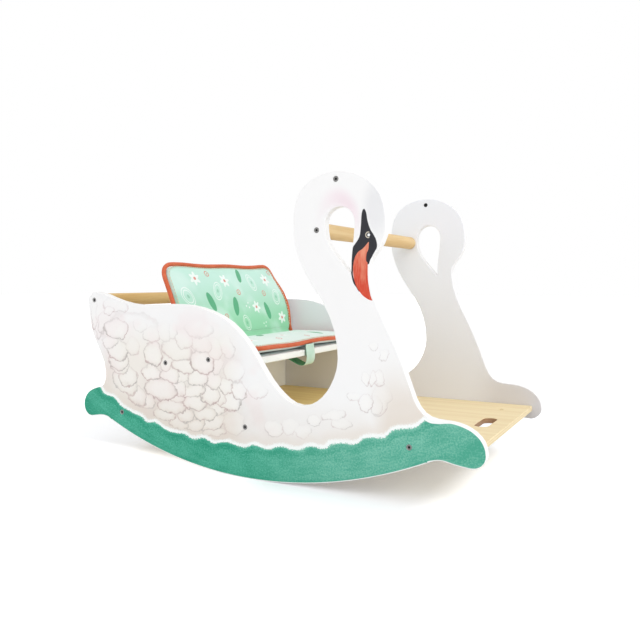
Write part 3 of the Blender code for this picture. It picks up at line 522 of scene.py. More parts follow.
    @staticmethod
    def _rim(paint: Paint, x: Value, z: Value, depth: Value) -> Value:
        """Mark what lies inside the thin white line that the water leaves round the panel's edge.

        Args:
            paint: The material.
            x: The point's X.
            z: The point's Z.
            depth: How far the point is above the rocker's arc.

        Returns:
            0 on the line and 1 inside it.
        """
        front_low = [(0.305, 0.0656), (0.320, 0.0720), (0.330, 0.0735), (0.350, 0.0703), (0.365, 0.0681)]
        front_low += [(0.378, 0.0672), (0.386, 0.0694), (0.392, 0.0740), (0.397, 0.0837)]
        front_high = [(0.280, 0.1837), (0.290, 0.1586), (0.300, 0.1439), (0.310, 0.1366), (0.325, 0.1329)]
        front_high += [(0.350, 0.1310), (0.370, 0.1254), (0.380, 0.1198), (0.390, 0.1100), (0.397, 0.0921)]
        rear_low = [(-0.397, 0.0905), (-0.390, 0.0779), (-0.380, 0.0734), (-0.365, 0.0751), (-0.350, 0.0771)]
        rear_low += [(-0.340, 0.0765), (-0.325, 0.0711)]
        rear_high = [(-0.397, 0.0994), (-0.390, 0.1153), (-0.380, 0.1238), (-0.360, 0.1317), (-0.350, 0.1344)]
        middle = x.near(-0.008, 0.316, 0.002)
        front, rear = x.step(0.306, 0.310), x.step(-0.326, -0.330)
        lobe = x.step(0.282, 0.288)
        gap = (depth + (1 - middle)).lower(z - paint.curve(x, front_low) + (1 - front))
        gap = gap.lower(z - paint.curve(x, rear_low) + (1 - rear))
        above = paint.curve(x, front_high) - z - 0.0058 * x.step(0.350, 0.308) + (1 - lobe)
        above = above.lower(paint.curve(x, rear_high) - z + x.step(-0.352, -0.348))
        return gap.lower(above).step(0.0009, 0.0020)

    def _face(self, paint: Paint, x: Value, z: Value, body: NodeSocket) -> NodeSocket:
        """Paint the bill, the black mask, the eye and a faint blush.

        Args:
            paint: The material.
            x: The point's X.
            z: The point's Z.
            body: The colour that they cover.

        Returns:
            The colour.
        """

        def round_spot(u: float, v: float, half_u: float, half_v: float) -> Value:
            """Measure the distance from an ellipse's middle, 1 on its rim."""
            return ((abs(x - u) / half_u) ** 2.0 + (abs(z - v) / half_v) ** 2.0).root()

        def between(left: Sequence[Point], right: Sequence[Point]) -> Value:
            """Mark what lies between two edges, over the height that both cover.

            Args:
                left: The spots (z, x) of the left edge.
                right: The spots of the right edge.

            Returns:
                1 between them and 0 outside them.
            """
            inside = (x - paint.curve(z, left)).step(-soft, soft)
            inside = inside * (paint.curve(z, right) - x).step(-soft, soft)
            low, high = left[0][0], left[-1][0]
            return inside * z.step(low - soft, low + soft) * z.step(high + soft, high - soft)

        soft = 0.0004
        arch = round_spot(0.157, 0.410, 0.036, 0.054)
        blush_spot = arch.near(1.0, 0.02, 0.44) * x.step(0.112, 0.176) * z.step(0.395, 0.455)
        cheek = round_spot(0.226, 0.447, 0.030, 0.060).step(1.0, 0.25)
        colour = paint.mix(0.58 * blush_spot, body, self.blush)
        colour = paint.mix(0.62 * cheek, colour, self.shade)
        mask_left = [
            (0.320, 0.1980), (0.325, 0.1945), (0.341, 0.1862), (0.364, 0.1838), (0.384, 0.1865), (0.393, 0.1915),
            (0.399, 0.1960), (0.407, 0.1995), (0.420, 0.2010), (0.439, 0.2025), (0.4455, 0.2060),
        ]
        mask_right = [
            (0.320, 0.2000), (0.325, 0.1972), (0.332, 0.1930), (0.352, 0.1880), (0.3605, 0.2120), (0.364, 0.2165),
            (0.374, 0.2205), (0.381, 0.2245), (0.388, 0.2280), (0.396, 0.2270), (0.406, 0.2222), (0.414, 0.2170),
            (0.428, 0.2120), (0.439, 0.2100), (0.4455, 0.2070),
        ]
        bill_left = [
            (0.3065, 0.2190), (0.3095, 0.2112), (0.318, 0.2008), (0.333, 0.1918), (0.352, 0.1880), (0.368, 0.1899),
            (0.378, 0.1945), (0.386, 0.2050), (0.395, 0.2135),
        ]
        bill_right = [
            (0.3065, 0.2210), (0.3150, 0.2175), (0.324, 0.2155), (0.342, 0.2130), (0.363, 0.2125), (0.368, 0.2100),
            (0.376, 0.2105), (0.386, 0.2140), (0.395, 0.2145),
        ]
        colour = paint.mix(between(mask_left, mask_right), colour, self.black)
        streak = paint.noise(paint.join(x * 7, z), 75, 2)
        glow = paint.curve(z, [(0.3065, 0.0), (0.330, 0.04), (0.365, 0.34), (0.395, 0.95)])
        ridge = (x - 0.2045).near(0.0, 0.001, 0.006) * z.step(0.325, 0.350)
        glow = (glow + 1.5 * (streak - 0.5) + 0.35 * ridge).higher(0).lower(1)
        colour = paint.mix(between(bill_left, bill_right), colour, paint.mix(glow, self.bill, self.bill_pale))
        across, up = x - 0.2135, z - 0.4060
        ring = (across * across + up * up).root().near(0.0042, 0.0006, 0.0004) * across.step(0.0030, 0.0)
        colour = paint.mix(ring, colour, self.eye_ring)
        shine_x, shine_z = x - 0.2143, z - 0.4058
        shine = (shine_x * shine_x + shine_z * shine_z).root().step(0.0025, 0.0018)
        return paint.mix(shine, colour, self.foam)


@dataclass(frozen=True)
class Paintwork:
    """Plain satin paint on board."""

    name: str
    colour: Colour

    def make(self) -> Material:
        """Mix the paint."""
        paint = Paint(self.name)
        where = paint.join(*paint.place())
        fine = paint.noise(where, 700, 2)
        darker = tuple(0.98 * part for part in self.colour)
        paint.bump(fine, 0.00006, 0.6)
        return paint.surface(paint.mix(paint.noise(where, 9, 1), self.colour, darker), 0.45 + 0.06 * fine)


@dataclass(frozen=True)
class BareWood:
    """Pale wood under thin lacquer, with fine lengthwise grain."""

    name: str
    pale: Colour
    dark: Colour
    grain: Grain

    def make(self) -> Material:
        """Mix the wood."""
        paint = Paint(self.name)
        x, y, z = paint.place()
        along, across = (x, y) if self.grain is Grain.ALONG_X else (y, x)
        rings = paint.noise(paint.join(along * 0.6, across * 11, z * 11), 6, 3)
        fibres = paint.noise(paint.join(along * 3, across * 130, z * 130), 5, 2, 0.6)
        pores = paint.noise(paint.join(along * 40, across * 900, z * 900), 1.2, 1)
        tone = (0.60 * rings.step(0.35, 0.66) + 0.35 * fibres + 0.15 * pores.step(0.62, 0.75)).lower(1)
        colour = self._cut(paint, (x, y, z), tone, paint.mix(tone, self.pale, self.dark))
        paint.bump(0.7 * fibres + 0.3 * pores, 0.00012, 0.5)
        return paint.surface(colour, 0.46 + 0.12 * fibres, Specular_IOR_Level=0.4)

    def _cut(self, paint: Paint, at: Sequence[Value], tone: Value, colour: Input) -> Input:
        """Leave the colour as it is, for a wood whose cut edges look like its faces."""
        return colour


@dataclass(frozen=True)
class Plywood(BareWood):
    """Thin layers of wood with layers showing at the edges, a darker slot, and painted light that gives the rear under
    the seat a more golden colour.
    """

    base: float
    thickness: float
    plies: int = 5
    slot_x: float = 0.341
    slot_half: Point = (0.0126, 0.0416)
    under_seat_light_pale: Colour = from_screen(255, 228, 152)
    under_seat_light_dark: Colour = from_screen(238, 203, 124)
    slot_dark: Colour = from_screen(140, 82, 46)

    def _cut(self, paint: Paint, at: Sequence[Value], tone: Value, colour: Input) -> Input:
        """Paint warm light on the rear under the seat, show the layers at the cut edges and darken the slot.

        Args:
            paint: The material.
            at: The point.
            tone: The grain, from 0 to 1.
            colour: The face's colour.

        Returns:
            The colour.
        """
        x, y, z = at
        # Painted light: the rear, under the seat, takes a more golden colour, as if warm light fell there
        colour = paint.mix(x.step(0.14, 0.02) * 0.75, colour, paint.mix(tone, self.under_seat_light_pale, self.under_seat_light_dark))
        layer = ((z - self.base) * (math.pi * self.plies / self.thickness)).sine()
        top = z.step(self.base + self.thickness - 0.0012, self.base + self.thickness - 0.0004)
        cut = paint.mix(layer.step(-0.2, 0.4), self.dark, self.pale)
        under = z.step(self.base + 0.0012, self.base + 0.0004)
        colour = paint.mix(1 - top.higher(under), colour, cut)
        # Darken the walls inside the slot
        half_x, half_y = self.slot_half
        inside = (x - self.slot_x).near(0.0, half_x, 0.0004) * abs(y).step(half_y + 0.0004, half_y)
        return paint.mix(inside * (1 - top) * 0.75, colour, self.slot_dark)


class Motif(Enum):
    """The ornaments of the cushion's print."""

    DAISY = "white petals round a coral spot"
    RIPPLE = "a double white oval line"
    PIP = "a dark green pip"
    BUD = "a coral ring with a dot"
    DROPS = "three small white drops"


@dataclass(frozen=True)
class Stamp:
    """One ornament's place on a pad, in millimetres: to the left, along the pad, its size and tilt."""

    motif: Motif
    across: float
    along: float
    size: float
    tilt: float = 0.0


DAISY, RIPPLE, PIP, BUD, DROPS = Motif
BACK_STAMPS: Tuple[Stamp, ...] = tuple(Stamp(*row) for row in (
    (DAISY, -118, 128, 15.07, 10), (RIPPLE, -150, 92, 21, 24), (BUD, -76, 138, 6.75), (PIP, -92, 78, 20.74, 16),
    (DROPS, -124, 62, 8.1), (RIPPLE, -62, 100, 21, -20), (DAISY, -28, 122, 15.07, -8), (BUD, 6, 96, 6.75),
    (PIP, 30, 134, 17.08, -20), (RIPPLE, 66, 118, 21, 14), (PIP, -18, 66, 20.74, -14), (DROPS, 24, 66, 8.1, 40),
    (DAISY, 54, 62, 13.91, 30), (DAISY, 122, 124, 15.07, 20), (BUD, 98, 92, 6.75), (RIPPLE, 138, 82, 19.6, -16),
    (PIP, 92, 52, 19.52, 12), (BUD, -58, 46, 6.075), (RIPPLE, 8, 30, 18.2, 30), (DAISY, 140, 34, 13.91, 0),
    (DROPS, 74, 24, 6.75, 15), (DAISY, -110, 26, 13.91, 5), (PIP, -152, 30, 18.3, -24), (BUD, 152, 142, 6.075),
))
SEAT_STAMPS: Tuple[Stamp, ...] = tuple(Stamp(*row) for row in (
    (DAISY, -140, 108, 15.07, 15), (RIPPLE, -96, 74, 21, 65), (BUD, -60, 118, 6.75), (PIP, -42, 62, 18.3, 55),
    (DAISY, -14, 96, 15.07, 40), (BUD, 30, 128, 6.075), (RIPPLE, 42, 78, 21, -60), (PIP, 92, 112, 18.3, -40),
    (DROPS, 76, 46, 8.1), (DAISY, 128, 72, 15.07, 5), (BUD, 158, 118, 6.75), (RIPPLE, 150, 28, 18.2, 25),
    (DAISY, 14, 30, 13.91, 20), (PIP, -88, 28, 18.3, -30), (BUD, -150, 48, 6.75),
))


@dataclass(frozen=True)
class PrintedCotton:
    """Mint cotton that fades from green to pale, with ornaments stamped over it."""

    name: str
    up: Vector
    origin: Vector
    low: Colour
    high: Colour
    fade: Tuple[float, float]
    stamps: Tuple[Stamp, ...]
    white: Colour = from_screen(244, 249, 246)
    green: Colour = from_screen(78, 166, 120)
    coral: Colour = from_screen(214, 112, 88)
    wash_tint: Colour = from_screen(226, 243, 238)

    def make(self) -> Material:
        """Mix the cotton."""
        paint = Paint(self.name)
        x, y, z = paint.place()
        along = (x - self.origin.x) * self.up.x + (z - self.origin.z) * self.up.z
        wash = paint.noise(paint.join(y, along), 14, 2)
        colour = paint.mix((along + 0.03 * (wash - 0.5)).step(*self.fade), self.low, self.high)
        colour = paint.mix(0.40 * wash.step(0.48, 0.66), colour, self.wash_tint)
        loose = 0.0016
        loose_y = y + loose * (paint.noise(paint.join(y, along), 120, 2) - 0.5)
        loose_along = along + loose * (paint.noise(paint.join(y + 2, along), 120, 2) - 0.5)
        inks = self._inks(paint, paint.join(loose_y, loose_along))
        for ink, strength, tint in zip(inks, (0.78, 0.9, 0.8), (self.white, self.green, self.coral)):
            colour = paint.mix(ink * strength, colour, tint)
        weave = (y * 5200).sine() * (along * 5200).sine()
        slub = paint.noise(paint.join(y * 6, along), 160, 2)
        paint.bump(0.25 * weave + 0.6 * slub, 0.0002, 0.55)
        return paint.surface(colour, 0.88, Sheen_Weight=0.15, Specular_IOR_Level=0.2)

    def _inks(self, paint: Paint, where: NodeSocket) -> Tuple[Number, Number, Number]:
        """Stamp every ornament.

        Args:
            paint: The material.
            where: The point on the pad.

        Returns:
            How much white, green and coral ink there is.
        """
        white: Number = 0.0
        green: Number = 0.0
        coral: Number = 0.0
        for stamp in self.stamps:
            reach, turn = self._local(paint, where, stamp)
            if stamp.motif is DAISY:
                rim = 0.78 + 0.22 * (turn * 6).sine()
                white = (reach - rim).step(0.05, -0.05).higher(white)
                coral = reach.step(0.26, 0.20).higher(coral)
            elif stamp.motif is RIPPLE:
                white = reach.near(0.92, 0.030, 0.03).higher(reach.near(0.66, 0.028, 0.03)).higher(white)
                green = (reach.step(0.24, 0.16) * 0.45).higher(green)
            elif stamp.motif is PIP:
                green = reach.step(1.03, 0.96).higher(green)
            elif stamp.motif is BUD:
                coral = reach.near(0.82, 0.11, 0.08).higher(reach.step(0.30, 0.20)).higher(coral)
            else:
                rim = (turn * 3).sine()
                white = (reach.near(0.70, 0.22, 0.06) * rim.step(0.55, 0.75)).higher(white)
        return white, green, coral

    @staticmethod
    def _local(paint: Paint, where: NodeSocket, stamp: Stamp) -> Tuple[Value, Value]:
        """Measure a point against an ornament.

        Args:
            paint: The material.
            where: The point on the pad.
            stamp: The ornament.

        Returns:
            The distance from its middle, 1 on its rim, and the angle round it.
        """
        slim = {PIP: 0.42, RIPPLE: 0.62}.get(stamp.motif, 1.0)
        local = paint.node("Mapping", {
            "Vector": where,
            "Location": (stamp.across / 1000, stamp.along / 1000, 0.0),
            "Rotation": (0.0, 0.0, math.radians(stamp.tilt)),
            "Scale": (stamp.size * slim / 1000, stamp.size / 1000, 1.0),
        }, vector_type="TEXTURE").outputs["Vector"]
        parts = paint.node("SeparateXYZ", {0: local}).outputs
        reach = paint.number("VectorMath", {0: local}, operation="LENGTH")
        return reach, paint.math("ARCTAN2", Value(paint, parts["Y"]), Value(paint, parts["X"]))


@dataclass(frozen=True)
class Woven:
    """Plain woven cloth, for piping, webbing, tape and thread."""

    name: str
    light: Colour
    dark: Colour
    pitch: float
    slant: float = 0.0

    def make(self) -> Material:
        """Mix the cloth."""
        paint = Paint(self.name)
        x, y, z = paint.place()
        turn = 2 * math.pi / self.pitch
        weft = ((y + self.slant * (x + z)) * turn).sine()
        warp = ((x - z) * turn).sine()
        rib = weft * (1 - self.slant) + warp * (0.35 + self.slant)
        wash = paint.noise(paint.join(x, y, z), 45, 2)
        tone = (0.35 * rib.step(-1, 1) + 0.75 * wash).step(0.2, 0.9)
        paint.bump(rib.step(-1.2, 1.2), 0.00025, 0.6)
        colour = paint.mix(tone, self.dark, self.light)
        return paint.surface(colour, 0.85, Sheen_Weight=0.1, Specular_IOR_Level=0.2)


@dataclass(frozen=True)
class Metal:
    """Turned metal with faint marks, and painted shade where it is sunk below socket_y."""

    name: str
    colour: Colour
    roughness: float
    socket_y: float

    def make(self) -> Material:
        """Mix the metal."""
        paint = Paint(self.name)
        x, y, z = paint.place()
        marks = paint.noise(paint.join(x, y, z), 1400, 2)
        worn, dark = (tuple(share * part for part in self.colour) for share in (0.7, 0.16))
        colour = paint.mix(marks.step(0.4, 0.7), self.colour, worn)
        # Painted shade in the sunk socket
        colour = paint.mix(abs(y).step(self.socket_y, self.socket_y - 0.0003), colour, dark)
        return paint.surface(colour, self.roughness + 0.15 * marks, Metallic=1.0)


# Shared geometry helpers


def wear(mesh: Mesh, material: Material) -> None:
    """Give a mesh its only finish."""
    mesh.materials.clear()
    mesh.materials.append(material)


def new_object(name: str, build: Build, material: Material) -> Object:
    """Put a piece in the scene, dressed, smooth and with its faces out.

    Args:
        name: The piece's name.
        build: A function that fills its mesh.
        material: Its finish.

    Returns:
        The new object.
    """
    bm = bmesh.new()
    build(bm)
    bmesh.ops.recalc_face_normals(bm, faces=bm.faces)
    mesh = bpy.data.meshes.new(name)
    bm.to_mesh(mesh)
    bm.free()
    piece = bpy.data.objects.new(name, mesh)
    bpy.context.scene.collection.objects.link(piece)
    wear(mesh, material)
    mesh.shade_smooth()
    return piece


def install(piece: Object, node: Optional[str] = None) -> None:
    """Fix a soft piece to the body and report it.

    Args:
        piece: The piece.
        node: The stand-in whose place it takes, if it takes one.
    """
    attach(piece, ROOT)
    if node:
        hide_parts(node)
    log.info("%s: %d faces", piece.name, len(piece.data.polygons))


def wave(place: float, length: float, start: float = 0.0) -> float:
    """Give the height of a wave of a certain length, from -1 to 1."""
    return math.sin(math.tau * place / length + start)


def rounded_outline(
    half_u: float, half_v: float, corners: Tuple[float, float], steps: int, offset: float = 0.0
) -> List[Vector]:
    """Walk anticlockwise round a rounded rectangle.

    Args:
        half_u: Half its length.
        half_v: Half its width.
        corners: The radii of its corners ahead and behind.
        steps: Pieces to each corner.
        offset: How far outside it to walk.

    Returns:
        The points (u, v), from its middle.
    """
    points = []
    for quarter, (sign_u, sign_v) in enumerate(((1, 1), (-1, 1), (-1, -1), (1, -1))):
        corner = corners[0] if sign_u > 0 else corners[1]
        middle = Vector((sign_u * (half_u - corner), sign_v * (half_v - corner)))
        for i in range(steps + 1):
            angle = math.radians(90 * quarter + 90 * i / steps)
            points.append(middle + (corner + offset) * Vector((math.cos(angle), math.sin(angle))))
    return points


def skin(bm: BMesh, rings: Sequence[Sequence[BMVert]], caps: Sequence[int] = (0, -1)) -> None:
    """Join closed rings of points by faces.

    Args:
        bm: The mesh to fill.
        rings: The rings in order, all with as many points.
        caps: The numbers of the rings that are closed by a face.
    """
    for first, second in zip(rings, rings[1:]):
        for k in range(len(first)):
            j = (k + 1) % len(first)
            bm.faces.new((first[k], first[j], second[j], second[k]))
    for cap in caps:
        bm.faces.new(rings[cap])


def tube(bm: BMesh, path: Sequence[Vector], radius: float, sides: int, closed: bool) -> None:
    """Sweep a circle along a path.

    Args:
        bm: The mesh to fill.
        path: The points of the centre line.
        radius: The tube's radius.
        sides: Sides of the circle.
        closed: Whether the path is a loop. An open tube gets round ends.
    """
    count = len(path)
    along = []
    for i in range(count):
        before = path[i - 1] if closed or i else path[0]
        after = path[(i + 1) % count] if closed or i < count - 1 else path[-1]
        along.append((after - before).normalized())
    side = along[0].orthogonal().normalized()
    frames = []
    for direction in along:
        side = (side - direction * side.dot(direction)).normalized()
        frames.append((side.copy(), direction.cross(side)))
    twist = 0.0
    if closed:
        last = (frames[-1][0] - along[0] * frames[-1][0].dot(along[0])).normalized()
        twist = math.atan2(last.dot(frames[0][1]), last.dot(frames[0][0]))
    stations = [(path[i], frames[i], radius, i / count) for i in range(count)]
    if not closed:
        for share in (0.55, 0.92):
            reach = radius * share
            small = radius * math.sqrt(1 - share**2)
            stations.insert(0, (path[0] - along[0] * reach, frames[0], small, 0.0))
            stations.append((path[-1] + along[-1] * reach, frames[-1], small, 0.0))
    rings = []
    for middle, (right, upward), size, share in stations:
        angles = [math.tau * k / sides - twist * share for k in range(sides)]
        rings.append([bm.verts.new(middle + size * (math.cos(a) * right + math.sin(a) * upward)) for a in angles])
    if closed:
        skin(bm, rings + rings[:1], caps=())
    else:
        skin(bm, rings)


def evenly(path: Sequence[Vector], gap: float, closed: bool) -> List[Vector]:
    """Space points evenly along a line.

    Args:
        path: The line's points.
        gap: The wanted distance between points.
        closed: Whether the line is a loop.

    Returns:
        The new points.
    """
    points = list(path) + ([path[0]] if closed else [])
    lengths = [0.0]
    for start, end in zip(points, points[1:]):
        lengths.append(lengths[-1] + (end - start).length)
    count = max(2, round(lengths[-1] / gap))
    result, k = [], 0
    for i in range(count if closed else count + 1):
        target = lengths[-1] * i / count
        while k < len(points) - 2 and lengths[k + 1] < target:
            k += 1
        span = max(lengths[k + 1] - lengths[k], 1e-9)
        result.append(points[k].lerp(points[k + 1], min(1.0, (target - lengths[k]) / span)))
    return result


def softened(points: Sequence[Vector], rounds: int) -> Sequence[Vector]:
    """Smooth a loop of points by averaging neighbours."""
    for _ in range(rounds):
        count = len(points)
        points = [0.5 * points[i] + 0.25 * (points[i - 1] + points[(i + 1) % count]) for i in range(count)]
    return points


# The cushion


@dataclass
class PadShape:
    """One pad's flat plan: a rounded rectangle whose sides draw in, centred on its own origin."""

    length: float
    width: float
    above: float
    below: float
    corner: float = 0.018
    fold_corner: float = 0.006
    draw_in: float = 0.0028
    fall_above: float = 0.016
    fall_below: float = 0.016
    seam_step: float = 0.010

    def inset(self, u: float, v: float) -> float:
        """Measure how far a point is inside the seam.

        Args:
            u: Its place along the pad's length.
            v: Its place along the pad's width.

        Returns:
            The distance to the seam, negative outside it.
        """
        half_u = self.length / 2 - self.draw_in * math.cos(math.pi * v / self.width) * 0.9
        half_v = self.width / 2 - self.draw_in * math.cos(math.pi * u / self.length) * 0.9
        corner = self.corner if u > 0 else self.fold_corner
        over_u = abs(u) - (half_u - corner)
        over_v = abs(v) - (half_v - corner)
        outside = math.hypot(max(over_u, 0), max(over_v, 0))
        return corner - outside - min(max(over_u, over_v), 0)

    def seam(self, offset: float = 0.0) -> List[Vector]:
        """Walk anticlockwise round the seam.

        Args:
            offset: How far outside the seam to walk.

        Returns:
            The plan's points (u, v).
        """
        half_u, half_v = self.length / 2, self.width / 2
        outline = rounded_outline(half_u, half_v, (self.corner, self.fold_corner), 8, offset)
        walked = evenly(outline, self.seam_step, closed=True)
        for point in walked:
            if abs(point.x) > half_u - self.corner * 0.3:
                point.x -= math.copysign(self.draw_in * math.cos(math.pi * point.y / self.width), point.x)
            if abs(point.y) > half_v - self.corner * 0.3:
                point.y -= math.copysign(self.draw_in * math.cos(math.pi * point.x / self.length), point.y)
        return walked

    def ring(self, inset: float) -> List[Point]:
        """Walk round the pad at a distance inside the seam."""
        scale_u, scale_v = 1 - 2 * inset / self.length, 1 - 2 * inset / self.width
        return [(point.x * scale_u, point.y * scale_v) for point in self.seam()]

    def thickness(self, inset: float, upper: bool) -> float:
        """Give the height of one face over the seam.

        Args:
            inset: The distance inside the seam.
            upper: Whether it is the face above the seam.

        Returns:
            The height.
        """
        rise, fall = (self.above, self.fall_above) if upper else (self.below, self.fall_below)
        share = min(max(inset, 0.0) / fall, 1.0)
        edge = math.sqrt(1 - (1 - share) ** 2)
        crown = 1 - (1 - min(inset / (self.length / 2), 1.0)) ** 2
        return rise * (0.82 * edge + 0.18 * crown)


@dataclass
class Half:
    """One padded half of the cushion: its plan, how the plan lies in space, and how its cloth is worked."""

    plan: PadShape
    place: Callable[[float, float, float], Vector]
    unplace: Callable[[Vector], Place]
    insets: Tuple[float, ...] = (0.0006, 0.002, 0.0045, 0.008, 0.0125, 0.018, 0.026, 0.036, 0.048, 0.060, 0.068)
    thin: float = 0.90
    voxel: float = 0.0042
    held_width: float = 0.006
    frames: int = 20
    most: float = 0.0035
    pucker_width: float = 0.03
    pucker_fade: float = 0.014
    pucker_height: float = 0.00035

    def shell(self, bm: BMesh) -> None:
        """Fill a closed crowned shell, thinner than the finished pad."""

        def ring(inset: float, side: int) -> List[BMVert]:
            """Add the points of one face at a distance inside the seam."""
            level = side * self.plan.thickness(inset, side > 0) * self.thin
            return [bm.verts.new(self.place(u, v, level)) for u, v in self.plan.ring(inset)]

        edge = ring(0.0, 1)
        insets = [inset for inset in self.insets if inset < self.plan.length / 2 - 0.004]
        for side in (1, -1):
            skin(bm, [edge] + [ring(inset, side) for inset in insets], caps=(-1,))

    def blow_up(self, piece: Object) -> None:
        """Blow the shell up as cloth, held along its seam, and keep the result as the piece's mesh."""
        remesh = piece.modifiers.new("even", "REMESH")
        remesh.mode = "VOXEL"
        remesh.voxel_size = self.voxel
        graph = bpy.context.evaluated_depsgraph_get()
        material = piece.data.materials[0]
        even = bpy.data.meshes.new_from_object(piece.evaluated_get(graph))
        piece.modifiers.clear()
        piece.data = even
        wear(even, material)
        even.shade_smooth()
        start = [vertex.co.copy() for vertex in even.vertices]
        held = piece.vertex_groups.new(name="held")
        for index, point in enumerate(start):
            inset = self.plan.inset(*self.unplace(point)[:2])
            held.add([index], max(0.0, 1 - max(inset, 0.0) / self.held_width), "REPLACE")
        cloth = piece.modifiers.new("cloth", "CLOTH").settings
        cloth.quality = 6
        cloth.mass = 0.25
        cloth.tension_stiffness = cloth.compression_stiffness = 12
        cloth.shear_stiffness = 5
        cloth.bending_stiffness = 0.4
        cloth.use_pressure = True
        cloth.uniform_pressure_force = 4.0
        cloth.effector_weights.gravity = 0.0
        cloth.vertex_group_mass = "held"
        scene = bpy.context.scene
        for number in range(1, self.frames + 1):
            scene.frame_set(number)
        graph = bpy.context.evaluated_depsgraph_get()
        moved = [vertex.co.copy() for vertex in piece.evaluated_get(graph).data.vertices]
        piece.modifiers.clear()
        scene.frame_set(1)
        for vertex, before, after in zip(even.vertices, start, moved):
            step = after - before
            if step.length > self.most:
                step *= self.most / step.length
            vertex.co = before + step
            if self.unplace(vertex.co)[2] < -self.plan.below:
                vertex.co = before
        even.update()

    def pucker(self, mesh: Mesh) -> None:
        """Gather the cloth in small waves along the seam."""
        plan = self.plan
        for vertex in mesh.vertices:
            u, v, height = self.unplace(vertex.co)
            inset = plan.inset(u, v)
            if inset > self.pucker_width:
                continue
            around = v if abs(u) > plan.length / 2 - self.pucker_width and abs(v) < plan.width / 2 - 0.02 else u
            waves = wave(around, 0.0125) + 0.5 * wave(around, 0.021, 2)
            fade = math.sin(math.pi * min(max(inset, 0) / self.pucker_fade, 1.0))
            shift = self.pucker_height * waves * fade * (1 if height > 0 else -1)
            vertex.co += self.place(u, v, height + shift) - self.place(u, v, height)


